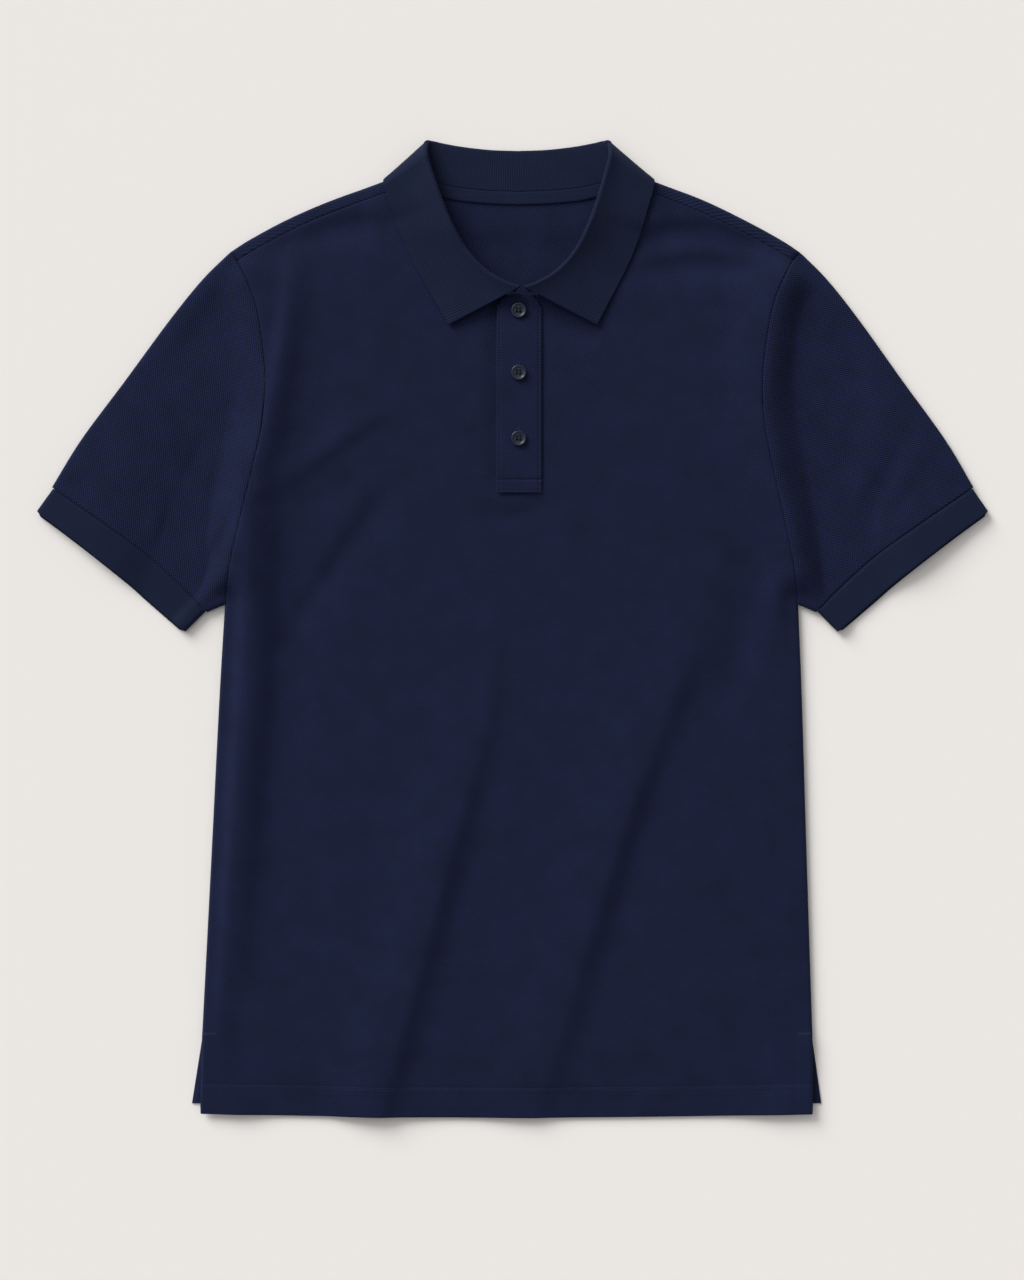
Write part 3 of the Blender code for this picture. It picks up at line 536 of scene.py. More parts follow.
def piece_of(name, points, faces, look, node=None, uv=None):
    """An object that rides on the shirt, from points in millimetres and faces, turned outward.

    With uv, each point's place on the cloth, points that lie at one place are welded.
    """
    mesh = bpy.data.meshes.new(name)
    mesh.from_pydata((points * MM).tolist(), [], faces)
    if uv is not None:
        layer = mesh.uv_layers.new(name="cloth")
        corners = np.empty(len(mesh.loops), int)
        mesh.loops.foreach_get("vertex_index", corners)
        layer.data.foreach_set("uv", (uv[corners] * MM).ravel())
    mesh.materials.append(look)
    mesh.shade_smooth()
    made = bpy.data.objects.new(name, mesh)
    bpy.context.scene.collection.objects.link(made)
    soft = bmesh.new()
    soft.from_mesh(mesh)
    if uv is not None:
        bmesh.ops.remove_doubles(soft, verts=soft.verts, dist=WELD * MM)
    bmesh.ops.recalc_face_normals(soft, faces=soft.faces)
    soft.to_mesh(mesh)
    soft.free()
    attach(made, "root")
    if node:
        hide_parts(node)
    return made


def cloth(name, patches, wall, look, node=None, closed=False):
    """One piece of cloth: its patches welded to one open surface, with Solidify for its wall.

    Each patch is a grid of points with X, Y, Z and the two places on the cloth.
    """
    points, faces, start = [], [], 0
    for patch in patches:
        rows, columns = patch.shape[:2]
        points.append(patch.reshape(-1, 5))
        faces.append(grid_faces(rows, columns, closed) + start)
        start += rows * columns
    points = np.concatenate(points)
    faces = np.concatenate(faces).tolist()
    made = piece_of(name, points[:, :3], faces, look, node, points[:, 3:])
    solidify = made.modifiers.new("wall", "SOLIDIFY")
    solidify.thickness = wall * MM
    solidify.offset = 0.0
    return made


def lifted(plan, height, uv=None):
    """A patch in plan with its heights, and its places on the cloth: its plan where none are given."""
    return np.concatenate([plan, height[..., None], plan if uv is None else uv], axis=-1)


# --- Materials ------------------------------------------------------------------------------


def linear(code):
    """A colour given as sRGB hex, as linear values with alpha."""
    values = [int(code[i : i + 2], 16) / 255 for i in (1, 3, 5)]
    return [v / 12.92 if v <= 0.04045 else ((v + 0.055) / 1.055) ** 2.4 for v in values] + [1.0]


def node(tree, kind, links=(), values=(), **settings):
    """Adds a node with its settings, its socket values and the links into it."""
    made = tree.nodes.new("ShaderNode" + kind)
    for key, value in settings.items():
        setattr(made, key, value)
    for socket, value in values:
        made.inputs[socket].default_value = value
    for socket, source in links:
        tree.links.new(source, made.inputs[socket])
    return made


def blank_material(name, values):
    """A Principled material with its values set on the shader's own sockets."""
    made = bpy.data.materials.new(name)
    made.use_nodes = True
    shader = made.node_tree.nodes["Principled BSDF"]
    for socket, value in values.items():
        shader.inputs[socket].default_value = value
    return made, made.node_tree, shader


def knit_pattern(tree, pitch_u, pitch_v, uv="cloth"):
    """Waves across and along the cloth, one cycle for each pitch in millimetres."""
    place = node(tree, "UVMap", uv_map=uv)
    scale = (1 / (pitch_u * MM), 1 / (pitch_v * MM), 1)
    turned = node(tree, "Mapping", [("Vector", place.outputs[0])], [("Scale", scale)])
    split = node(tree, "SeparateXYZ", [("Vector", turned.outputs[0])])
    waves = []
    for axis in ("X", "Y"):
        angle = node(tree, "Math", [(0, split.outputs[axis])], [(1, 2 * np.pi)], operation="MULTIPLY")
        waves.append(node(tree, "Math", [(0, angle.outputs[0])], operation="COSINE"))
    return place, waves[0].outputs[0], waves[1].outputs[0]


def knit_material(name, hollow, raised, pitch_u, pitch_v, cells, depth):
    """Navy cotton knit: relief follows the stitch pattern, and colour follows the relief as painted
    shade, darker in its hollows and lighter on its tops, with a slow random unevenness of dyeing.

    Cells make the staggered dimples of pique, and without them the two waves give fine ribs.
    """
    fuzzy = {"Sheen Weight": 0.04, "Sheen Roughness": 0.5, "Sheen Tint": linear("#8f9bc4")}
    values = {"Roughness": 0.9, "Specular IOR Level": 0.15} | fuzzy
    made, tree, shader = blank_material(name, values)
    place, wave_u, wave_v = knit_pattern(tree, pitch_u, pitch_v)
    operation = "MULTIPLY" if cells else "MULTIPLY_ADD"
    extra = [] if cells else [(1, 0.25)]
    links = [(0, wave_u), (1, wave_v)] if cells else [(0, wave_v), (2, wave_u)]
    relief = node(tree, "Math", links, extra, operation=operation)
    fuzz = node(tree, "TexNoise", [("Vector", place.outputs[0])], [("Scale", 900.0), ("Detail", 3.0)])
    worn = node(tree, "TexNoise", [("Vector", place.outputs[0])], [("Scale", 45.0), ("Detail", 4.0)])
    height = node(
        tree, "Math", [(0, fuzz.outputs["Fac"]), (2, relief.outputs[0])], [(1, 0.9)], operation="MULTIPLY_ADD"
    )
    share = node(
        tree,
        "MapRange",
        [("Value", height.outputs[0])],
        [("From Min", -1.0), ("From Max", 2.0), ("To Min", 0.0), ("To Max", 1.0)],
    )
    # Painted shade: the colour is darker where the knit's relief is low, with the dyeing's random unevenness
    # mixed in
    dye_and_painted_shade = node(
        tree, "Math", [(0, worn.outputs["Fac"]), (2, share.outputs[0])], [(1, 0.5)], operation="MULTIPLY_ADD"
    )
    ramp = node(tree, "ValToRGB", [("Fac", dye_and_painted_shade.outputs[0])])
    ramp.color_ramp.elements[0].position = 0.25
    ramp.color_ramp.elements[0].color = linear(hollow)
    ramp.color_ramp.elements[1].position = 1.0
    ramp.color_ramp.elements[1].color = linear(raised)
    bump = node(
        tree, "Bump", [("Height", height.outputs[0])], [("Strength", 0.55), ("Distance", depth * MM)]
    )
    tree.links.new(ramp.outputs["Color"], shader.inputs["Base Color"])
    tree.links.new(bump.outputs["Normal"], shader.inputs["Normal"])
    return made


# Cotton pique is matt, with painted shade in its staggered dimples, which are darker than the stitches
# round them. The dimples are about 1.5 mm apart, too fine to show, and are drawn 2.3 by 2.1 mm apart.
COTTON_PIQUE = knit_material("cotton_pique_navy", "#040a1a", "#182040", 2.3, 2.1, True, 0.65)
# A flat-knit collar or band is smoother, with fine ribs across it and painted shade in the grooves
# between them. They are about 1.3 mm apart, and are drawn 1.7 mm apart to show.
FLAT_KNIT_RIB = knit_material("flat_knit_rib_navy", "#081022", "#151d36", 1.7, 2.2, False, 0.13)
# Twill tape is smoother, with a fine slant, and painted shade darkens its grooves.
TWILL_TAPE = knit_material("twill_tape_navy", "#0b1224", "#151d36", 1.2, 6.0, False, 0.1)


def thread_material(name, colour):
    """Spun polyester thread: dyed to match, with a slight sheen."""
    values = {"Roughness": 0.75, "Specular IOR Level": 0.2, "Base Color": linear(colour)}
    made, _, _ = blank_material(name, values)
    return made


def resin_material():
    """Polyester resin buttons: turned and tumbled smooth, dark with a faint cloud in them."""
    values = {"Roughness": 0.3, "Specular IOR Level": 0.4}
    made, tree, shader = blank_material("polyester_resin_button", values)
    place = node(tree, "TexCoord")
    cloud = node(tree, "TexNoise", [("Vector", place.outputs["Object"])], [("Scale", 260.0), ("Detail", 3.0)])
    ramp = node(tree, "ValToRGB", [("Fac", cloud.outputs["Fac"])])
    ramp.color_ramp.elements[0].color = linear("#0a1020")
    ramp.color_ramp.elements[1].color = linear("#151d33")
    tree.links.new(ramp.outputs["Color"], shader.inputs["Base Color"])
    return made


THREAD = thread_material("polyester_thread_navy", "#1d2644")
BUTTON_THREAD = thread_material("polyester_thread_dark_navy", "#070a14")
RESIN = resin_material()


# --- Panels ---------------------------------------------------------------------------------


def collar_rows(count_each, rows=COLLAR):
    """The collar's table with smooth rows between its own."""
    table = smooth_curve(np.array(rows, float), count_each)
    return [CollarSection(*row) for row in table]


def neck_seam(rows, side, gap):
    """The collar's seam at some of its sections, moved out by a gap to the panel that it joins."""
    table = sided([(row.seam_across, row.seam_y) for row in rows], side, collar_centre)
    step = np.gradient(table, axis=0)
    outward = np.stack([step[:, 1], -step[:, 0]], axis=-1) * side
    return table + gap * outward / np.linalg.norm(outward, axis=1)[:, None]


def shoulder_seam(side, forward, columns):
    """The shoulder's fold, or a line that lies forward of it on the front, from neck to armhole."""
    fold = along(smooth_curve(SHOULDER_FOLD), columns)
    step = np.gradient(fold, axis=0)
    inward = np.stack([step[:, 1], -step[:, 0]], axis=-1)
    inward /= np.linalg.norm(inward, axis=1)[:, None]
    line = fold + inward * forward
    end = along(ARMHOLE_CURVE, [FORWARD_SEAM_SHARE * forward / SHOULDER_SEAM_FORWARD])[0]
    reach = np.asarray(columns)[:, None] ** 8
    return sided(line + (end - line[-1]) * reach, side)


def side_and_armhole(corner, side, top_share, near_top=()):
    """From the hem's corner up the vent, the side seam and the armhole, with each point's share
    of the way and the rows where one run meets the next."""
    vent = np.array([corner, SIDE_SEAM[-1]], float)
    seam = smooth_curve(SIDE_SEAM)[::-1]
    whole = run_length(ARMHOLE_CURVE)[-1]
    arm = ARMHOLE_CURVE[::-1]
    hem_rows = (0.4, 1.0, 2.0, 4.0, 8.0, 13.0, 17.0, 18.5, 20.0, 21.5, 22.6, 23.5, 24.4, 26.0)
    vent_shares = clustered(run_length(vent)[-1], 4.2, near_start=hem_rows)
    seam_shares = clustered(run_length(seam)[-1], 4.2)
    arm_shares = clustered(whole * (1 - top_share), 3.8, near_end=near_top) * (1 - top_share)
    runs = [along(vent, vent_shares)[:-1], along(seam, seam_shares)[:-1], along(arm, arm_shares)]
    keys = [0, len(runs[0]), len(runs[0]) + len(runs[1]), sum(map(len, runs)) - 1]
    line = np.vstack(runs)
    length = run_length(line)
    return sided(line, side), length / length[-1], keys


def front_height_patch(plan):
    """A patch in plan, lifted to the front's height."""
    return lifted(plan, front_height(plan[..., 0], plan[..., 1]))


def front_middle_edge(side, v, keys, slot_row):
    """The edge of a half of the front beside the placket's slot, and on down to the hem."""
    rows = [keys[0], keys[1], keys[2], slot_row, keys[3]]
    heights = [FRONT_HEM_Y - FRONT_HEM_DIP, SIDE_SEAM[-1].y, UNDERARM[0].y, SLOT_FOOT_Y, FRONT_NECK_Y]
    y = np.interp(v, v[rows], heights)
    middle = np.interp(y, [heights[0], SLOT_FOOT_Y], [lean(FRONT_HEM_Y), PLACKET_X])
    return np.stack([middle + side * SLOT_WIDTH / 2, y], axis=-1)


def front_rows():
    """The rows of the front's halves: shares of the way up, where the runs meet, the slot's foot."""
    outer, v, keys = side_and_armhole(FRONT_CORNER, 1, FORWARD_SEAM_SHARE, (0.4, 1.0, 1.8, 3.0))
    return v, keys, int(np.argmin(np.abs(outer[:, 1] - SLOT_FOOT_Y)))


def front_middle():
    """The strip of the front below the slot, between its two halves."""
    v, keys, slot_row = front_rows()
    left, right = (front_middle_edge(side, v, keys, slot_row)[: slot_row + 1, None] for side in (-1, 1))
    share = np.linspace(0, 1, 11)[:, None]
    return front_height_patch(left * (1 - share) + right * share)


def front_half(side):
    """Half of the front: from its middle edge to the hem, side, armhole, shoulder and neck."""
    v, keys, slot_row = front_rows()
    outer, _, _ = side_and_armhole(FRONT_CORNER, side, FORWARD_SEAM_SHARE, (0.4, 1.0, 1.8, 3.0))
    inner = front_middle_edge(side, v, keys, slot_row)

    columns = clustered(155.0, 3.4, near_end=(0.4, 0.9, 1.5, 2.2, 3.0, 4.4, 6.5))
    neck = neck_seam(collar_rows(8, COLLAR[NECK_POINT_ROW + 1 :])[::-1], side, NECK_GAP)
    beside_slot = side * (neck[:, 0] - inner[-1, 0]) > 1.0
    neck = np.vstack([inner[-1:], neck[beside_slot]])
    seam = shoulder_seam(side, SHOULDER_SEAM_FORWARD + SEAM_GAP, columns)
    top = np.vstack([neck[:-1], seam])
    top[-1] = outer[-1]
    neck_share = 0.42
    neck_columns = np.linspace(0, neck_share, len(neck))
    u = np.r_[neck_columns[:-1], neck_share + (1 - neck_share) * columns]
    bottom_x = inner[0, 0] + (outer[0, 0] - inner[0, 0]) * u
    bottom = np.stack([bottom_x, front_hem_y(bottom_x)], axis=-1)
    bottom[0] = inner[0]
    outer[0] = bottom[-1]
    plan = coons(bottom, top, inner, outer, u, v)
    height = front_height(plan[..., 0], plan[..., 1])
    shoulder, _ = offsets(sided(smooth_curve(SHOULDER_FOLD), side), plan[..., 0], plan[..., 1])
    from_seam = np.abs(shoulder) - SHOULDER_SEAM_FORWARD - SEAM_GAP
    height -= seam_roll(np.maximum(from_seam, 0), SHOULDER_DIP)
    return lifted(plan, height)


def back_half(side):
    """Half of the back on the surface, up to the neck seam and to the fold of the shoulder."""
    outer, v, keys = side_and_armhole(BACK_CORNER, side, 0.0, (0.3, 0.7, 1.2, 1.8, 2.6))
    neck_y = COLLAR[0].seam_y - NECK_GAP
    heights = [BACK_HEM_Y - BACK_HEM_DIP, SIDE_SEAM[-1].y, UNDERARM[0].y, neck_y]
    inner_y = np.interp(v, v[keys], heights)
    start_x = lean(BACK_HEM_Y)
    inner_x = np.interp(inner_y, [heights[0], heights[-1]], [start_x, collar_centre(neck_y)])
    inner = np.stack([inner_x, inner_y], axis=-1)

    rows = collar_rows(STEPS_EACH_ROW)[: STEPS_EACH_ROW * NECK_POINT_ROW + 1]
    neck = neck_seam(rows, side, NECK_GAP)
    columns = clustered(158.0, 5.0)
    fold = shoulder_seam(side, 0.0, columns)
    top = np.vstack([neck[:-1], fold])
    top[0] = inner[-1]
    top[-1] = outer[-1]
    neck_share = 0.36
    u = np.r_[np.linspace(0, neck_share, len(neck))[:-1], neck_share + (1 - neck_share) * columns]
    bottom_x = inner[0, 0] + (outer[0, 0] - inner[0, 0]) * u
    dip = BACK_HEM_DIP * (1 - ((bottom_x - start_x) / BACK_CORNER.across) ** 2)
    bottom = np.stack([bottom_x, BACK_HEM_Y - dip], axis=-1)
    plan = coons(bottom, top, inner, outer, u, v)
    across = np.abs(plan[..., 0] - lean(plan[..., 1]))
    edge, _ = offsets(SHOULDER_CURVE, across, plan[..., 1])
    edge = np.abs(edge)
    edge[-1, len(neck) - 1 :] = 0.0
    return lifted(plan, lower_height(plan[..., 0], plan[..., 1], edge))


def shoulder_roll(side):
    """The strip of the back that comes over the shoulder's fold to the forward seam."""
    columns = clustered(158.0, 5.0)
    depths = FOLD_RADIUS * (1 - np.cos(np.linspace(0, np.pi / 2, 8)))
    depths = np.r_[depths, 3.2, 4.2, 5.4, 6.6, 7.4, 7.9, 8.3, SHOULDER_SEAM_FORWARD]
    strips = []
    for depth in depths:
        line = shoulder_seam(side, depth, columns)
        height = upper_height(line[:, 0], line[:, 1], np.full(len(line), depth))
        height -= seam_roll(SHOULDER_SEAM_FORWARD - depth, SHOULDER_ROLL_DIP)
        uv = np.stack([line[:, 0], line[:, 1] + 2 * depth], axis=-1)
        strips.append(lifted(line, height, uv))
    return np.stack(strips)


# --- Sleeves and cuffs ----------------------------------------------------------------------


def distance_in_rows(plan):
    """Distance of each place from the nearer end of its row, along the row, and from its start."""
    steps = np.linalg.norm(np.diff(plan, axis=1), axis=-1)
    run = np.concatenate([np.zeros((len(plan), 1)), np.cumsum(steps, axis=1)], axis=1)
    return np.minimum(run, run[:, -1:] - run), run


def flattened_tube(plan, lower, upper, grain):
    """Each row of the plan as a closed ring: its lower wall out to the underarm, its upper wall back.

    The two walls meet halfway at the folds. Places on the cloth run round the ring and along it.
    """
    lower, upper = lower.copy(), upper.copy()
    middle = (lower[:, [0, -1], 2] + upper[:, [0, -1], 2]) / 2
    lower[:, [0, -1], 2] = middle
    upper[:, [0, -1], 2] = middle
    lower[..., 3:], upper[..., 3:] = grain, grain
    return np.concatenate([lower, upper[:, -2:0:-1]], axis=1)


def fold_shares(length, spacing):
    """Shares of a ring's half, closer together at its two folds."""
    fine = (0.25, 0.7, 1.4, 2.4, 4.0)
    return clustered(length, spacing, near_start=fine, near_end=fine)


def sleeve(side, word):
    """A sleeve from the armhole to its band, as a flattened tube of one wall."""
    shares = fold_shares(290.0, 3.2)
    armhole = along(sided(ARMHOLE_CURVE, side), shares)
    armhole[:, 0] += side * (SEAM_GAP + 0.7 * shares**12)
    seam = along(sided(smooth_curve(CUFF_SEAM), side), shares)
    rings = clustered(230.0, 3.6, near_start=(0.4, 1.0, 1.9, 3.0), near_end=(0.4, 0.9, 1.6, 2.6))
    fold = along(sided(smooth_curve(SLEEVE_FOLD), side), rings)
    underarm = along(sided(np.array(UNDERARM), side), rings)
    fold[0], fold[-1] = armhole[0], seam[0]
    underarm[0], underarm[-1] = armhole[-1], seam[-1]
    plan = coons(armhole, seam, fold, underarm, shares, rings)
    x, y = plan[..., 0], plan[..., 1]
    edge, _ = distance_in_rows(plan)
    across = np.abs(x - lean(y))
    at_armhole, _ = offsets(ARMHOLE_CURVE[::4], across, y)
    at_cuff, _ = offsets(smooth_curve(CUFF_SEAM, 8), across, y)
    dips = seam_roll(np.abs(at_armhole), ARMHOLE_SLEEVE_DIP) + seam_roll(np.abs(at_cuff), CUFF_SLEEVE_DIP)
    dips = dips * soft_step(edge, 0.5, 5)
    top = upper_height(x, y, edge) - dips
    grain = sleeve_grain(side, x, y)
    tube = flattened_tube(plan, lifted(plan, lower_height(x, y, edge)), lifted(plan, top), grain)
    return cloth("sleeve_cloth_" + word, [tube], PANEL_WALL, COTTON_PIQUE, "sleeve_" + word, True)


def sleeve_grain(side, x, y):
    """Places on the sleeve's cloth, whose grain runs from the shoulder to the band."""
    turn = np.radians(37.0)
    u = x * side * np.sin(turn) + y * np.cos(turn)
    v = x * side * np.cos(turn) - y * np.sin(turn)
    return np.stack([u, v], axis=-1)


def cuff(side, word):
    """The knitted band at a sleeve's end, its under layer a little longer than its upper."""
    shares = fold_shares(155.0, 2.4)
    seam = along(sided(smooth_curve(CUFF_SEAM), side), shares)
    edge_line = along(sided(smooth_curve(CUFF_EDGE), side), shares)
    down = edge_line - seam
    depth = np.linalg.norm(down, axis=1)[:, None]
    down /= depth
    run = seam[-1] - seam[0]
    run /= np.linalg.norm(run)
    inset = CUFF_INSET * (1 - 2 * shares)[:, None] * run
    start = seam + down * CUFF_GAP + inset
    rings = clustered(CUFF_DEPTH, 1.6, near_start=(0.3, 0.8, 1.4), near_end=(0.25, 0.6, 1.2))
    rings = rings[:, None, None]
    plan = start * (1 - rings) + edge_line * rings
    x, y = plan[..., 0], plan[..., 1]
    edge, along_ring = distance_in_rows(plan)
    shift = down[None] * CUFF_UNDER_REACH * rings * soft_step(edge, 0, 4)[..., None]
    thicker = (KNIT_WALL - PANEL_WALL) / 2
    lower = lifted(plan + shift, lower_height(x, y, edge) + thicker)
    from_seam = rings[..., 0] * CUFF_DEPTH
    dips = seam_roll(from_seam, CUFF_BAND_DIP) + seam_roll(CUFF_DEPTH - from_seam, CUFF_EDGE_DIP)
    dips = dips * soft_step(edge, 0.5, 5)
    upper = lifted(plan, upper_height(x, y, edge) + thicker - dips)
    grain = np.stack([along_ring, np.broadcast_to(from_seam, x.shape)], axis=-1)
    tube = flattened_tube(plan, lower, upper, grain)
    return cloth("cuff_band_" + word, [tube], KNIT_WALL, FLAT_KNIT_RIB, "cuff_" + word, True)


# --- Collar, tape and placket ---------------------------------------------------------------


def seat(side, across, y, height, on_front):
    """Points of the collar, with their heights taken from the front's where they lie over it."""
    x = collar_centre(y) + side * across
    plan_across = np.abs(x - lean(y))
    edge = np.maximum(edge_distance(plan_across, y), FOLD_RADIUS)
    over = upper_height(x, y, edge)
    return np.stack([x, y, height + np.clip(on_front, 0, 1) * over], axis=-1)


def collar_sections(side):
    """Sections of the collar on one side: seam, stand, half turn at the fold, then the leaf.

    The stand is straight and the leaf sags a little between its ends. The fold is a half circle
    about an axis that turns from below the cloth at the back to above it in front.
    """
    table = smooth_curve(np.array(COLLAR, float), 13).T
    row = CollarSection(*table)
    seam = seat(side, row.seam_across, row.seam_y, row.seam_z, row.on_front)
    fold = seat(side, row.fold_across, row.fold_y, row.fold_z, row.on_front)
    edge = seat(side, row.edge_across, row.edge_y, row.edge_z, row.on_front)
    turn = np.radians(row.turn)
    outward = np.stack([side * np.cos(turn), np.zeros(len(turn)), np.sin(turn)], axis=-1)
    up = fold - (seam + edge) / 2
    up -= outward * (up * outward).sum(-1)[:, None]
    up /= np.linalg.norm(up, axis=1)[:, None]
    bend = row.bend[:, None]
    centre = fold - up * bend
    angles = np.linspace(0, np.pi, 13)[:, None, None]
    half_turn = centre + bend * (np.sin(angles) * up - np.cos(angles) * outward)
    stand_shares = np.array([0, 0.02, 0.06, 0.12, 0.25, 0.4, 0.55, 0.7, 0.85])[:, None, None]
    stand = seam + (half_turn[0] - seam) * stand_shares
    leaf_shares = np.r_[np.linspace(0.03, 0.93, 20), 0.955, 0.975, 0.99, 1.0][:, None, None]
    sag = np.sin(np.pi * leaf_shares**0.7) * LEAF_SAG * np.clip(row.on_front, 0, 1)[:, None]
    leaf = half_turn[-1] + (edge - half_turn[-1]) * leaf_shares - outward * sag
    points = np.concatenate([stand, half_turn, leaf])
    run = np.linalg.norm(np.diff(points, axis=0), axis=-1)
    across = np.concatenate([np.zeros((1, run.shape[1])), np.cumsum(run, axis=0)])
    length = run_length(half_turn[len(half_turn) // 2]) * side
    uv = np.stack([np.broadcast_to(length, across.shape), across], axis=-1)
    return np.concatenate([points, uv], axis=-1).transpose(1, 0, 2)


def collar():
    """The collar as one sheet, its left and right sections joined at the centre back."""
    left, right = collar_sections(-1), collar_sections(1)
    whole = np.concatenate([left[::-1], right[1:]])
    return cloth("collar_knit", [whole], KNIT_WALL, FLAT_KNIT_RIB, "collar")


def neck_tape_line(offset):
    """A line that follows the back neck seam at an offset below it."""
    rows = collar_rows(STEPS_EACH_ROW)[: STEPS_EACH_ROW * (NECK_TAPE_ROWS - 1) + 1]
    left = neck_seam(rows, -1, NECK_GAP)[::-1]
    right = neck_seam(rows, 1, NECK_GAP)[1:]
    return np.vstack([left, right]) - [0, offset]


def neck_tape_height(x, y):
    """Middle of the tape's wall, over the back."""
    flat = lower_height(x, y, np.full(np.shape(x), 2 * FOLD_RADIUS))
    return flat + PANEL_WALL / 2 + LAY_GAP + TAPE_WALL / 2


def neck_tape():
    """The tape over the back neck seam: rows at shares of its width, slightly crowned."""
    shares = np.array([0, 0.02, 0.06, 0.14, 0.3, 0.5, 0.7, 0.86, 0.94, 0.98, 1])
    plan = np.stack([neck_tape_line(NECK_TAPE_WIDTH * share) for share in shares])
    swell = 0.25 * (1 - (2 * shares - 1) ** 6)[:, None]
    height = neck_tape_height(plan[..., 0], plan[..., 1]) + swell
    return cloth("neck_tape_cloth", [lifted(plan, height)], TAPE_WALL, TWILL_TAPE, "neck_tape")


def placket_top_y(x):
    """The placket's upper edge: level at its middle, rounded down to its corners."""
    out = np.abs(x - PLACKET_X) / (PLACKET_WIDTH / 2)
    return PLACKET_TOP_Y - PLACKET_CORNER_DROP * (1 - np.sqrt(1 - np.clip(out, 0, 1) ** 3))


def placket_height(x, y):
    """Middle of the placket's wall, with the grooves of its stitches and its boxed foot."""
    height = front_height(x, y, detail=False) + PANEL_WALL + LAY_GAP + PLACKET_LIFT
    left = x - (PLACKET_X - PLACKET_WIDTH / 2)
    right = PLACKET_WIDTH - left
    height -= stitch_line(left - PLACKET_EDGE_STITCH, 0.35, 0.6)
    height -= stitch_line(right - PLACKET_EDGE_STITCH, 0.75, 0.7)
    height -= stitch_line(y - PLACKET_FOOT_Y - PLACKET_BOX_HEIGHT, 0.8, 0.7)
    height -= stitch_line(y - PLACKET_FOOT_Y - FOOT_STITCH, 0.3, 0.6)
    height -= seam_roll(right, PLACKET_SEWN_DIP)
    return height - seam_roll(left, PLACKET_FOLD_DIP)


def placket():
    """The top placket: columns across it, and rows from its foot to its rounded upper edge."""
    half = PLACKET_WIDTH / 2
    fine = (0.2, 0.5, 0.9, 1.2, 1.5, 1.8, 2.0, 2.2, 2.4, 2.6, 2.9, 3.2, 4.0)
    x = PLACKET_X - half + PLACKET_WIDTH * clustered(PLACKET_WIDTH, 1.4, fine, fine)
    length = PLACKET_TOP_Y - PLACKET_FOOT_Y
    box = (0.3, 0.8, 1.2, 1.6, 2.0, 2.6, 4.0, 7.0, 9.0, 9.5, 9.8, 10.1, 10.4, 10.7, 11.0, 11.3, 11.8)
    share = clustered(length, 1.8, box, (0.3, 0.8, 1.5))
    y = PLACKET_FOOT_Y + share[:, None] * (placket_top_y(x) - PLACKET_FOOT_Y)
    plan = np.stack([np.broadcast_to(x, y.shape), y], axis=-1)
    height = placket_height(plan[..., 0], plan[..., 1])
    return cloth("placket_top", [lifted(plan, height)], PANEL_WALL, COTTON_PIQUE, "placket")


def placket_under():
    """The under placket, level with the front in the slot that the top placket covers."""
    half = SLOT_WIDTH / 2 - SEAM_GAP
    x = PLACKET_X + np.linspace(-half, half, 16)
    y = np.linspace(SLOT_FOOT_Y + UNDER_PLACKET_ABOVE_SLOT, FRONT_NECK_Y - UNDER_PLACKET_BELOW_NECK, 60)
    plan = np.stack(np.meshgrid(x, y), axis=-1)
    patch = lifted(plan, front_height(plan[..., 0], plan[..., 1], detail=False))
    return cloth("placket_beneath", [patch], PANEL_WALL, COTTON_PIQUE, "placket_under")


# --- Stitches -------------------------------------------------------------------------------


def stitches(
    name, rows, look=THREAD, width=THREAD_WIDTH, length=STITCH_LENGTH, pitch=STITCH_PITCH
):
    """Rows of stitches as one mesh: each is a short spindle, thick in the middle, along its row."""
    sides, rings = 6, 5
    around = np.linspace(0, 2 * np.pi, sides, endpoint=False)
    share = np.linspace(-1, 1, rings)
    thick = np.sqrt(1 - (0.94 * share) ** 2) * width / 2
    shape = np.stack(
        [
            np.repeat(share * length / 2, sides),
            (thick[:, None] * np.cos(around)).ravel(),
            (thick[:, None] * np.sin(around)).ravel(),
        ],
        axis=-1,
    )
    one = grid_faces(rings, sides, True)[:, ::-1]
    points, faces, start = [], [], 0
    for row in rows:
        total = run_length(row)[-1]
        count = max(int(total // pitch), 1)
        shares = (np.arange(count) + 0.5) / count
        centre = along(row, shares)
        after, before = np.clip(shares + 0.2 / total, 0, 1), np.clip(shares - 0.2 / total, 0, 1)
        ahead = along(row, after) - along(row, before)
        ahead /= np.linalg.norm(ahead, axis=1)[:, None]
        aside = np.cross([0.0, 0.0, 1.0], ahead)
        aside /= np.linalg.norm(aside, axis=1)[:, None]
        up = np.cross(ahead, aside)
        frame_axes = np.stack([ahead, aside, up], axis=1)
        points.append((centre[:, None] + shape @ frame_axes).reshape(-1, 3))
        each = np.arange(count)[:, None, None] * len(shape) + start
        caps = np.stack([np.arange(sides)[::-1], np.arange(sides) + len(shape) - sides])
        faces += (one + each).reshape(-1, 4).tolist() + (caps + each).reshape(-1, sides).tolist()
        start += count * len(shape)
    return piece_of(name, np.concatenate(points), faces, look)


def on_surface(x, y, height, wall):
    """A line of places with its heights, half sunk in the top of a wall."""
    x, y = np.broadcast_arrays(np.asarray(x, float), np.asarray(y, float))
    return np.stack([x, y, height(x, y) + wall / 2 + 0.05], axis=-1)


def hem_rows():
    """The two needle lines of the hem."""
    x = np.linspace(-BODY_HALF_WIDTH - 3, BODY_HALF_WIDTH - 8, 200)
    rows = []
    for up in (HEM_DEPTH, HEM_DEPTH - HEM_NEEDLES_APART):
        rows.append(on_surface(x, front_hem_y(x) + up, front_height, PANEL_WALL))
    return rows


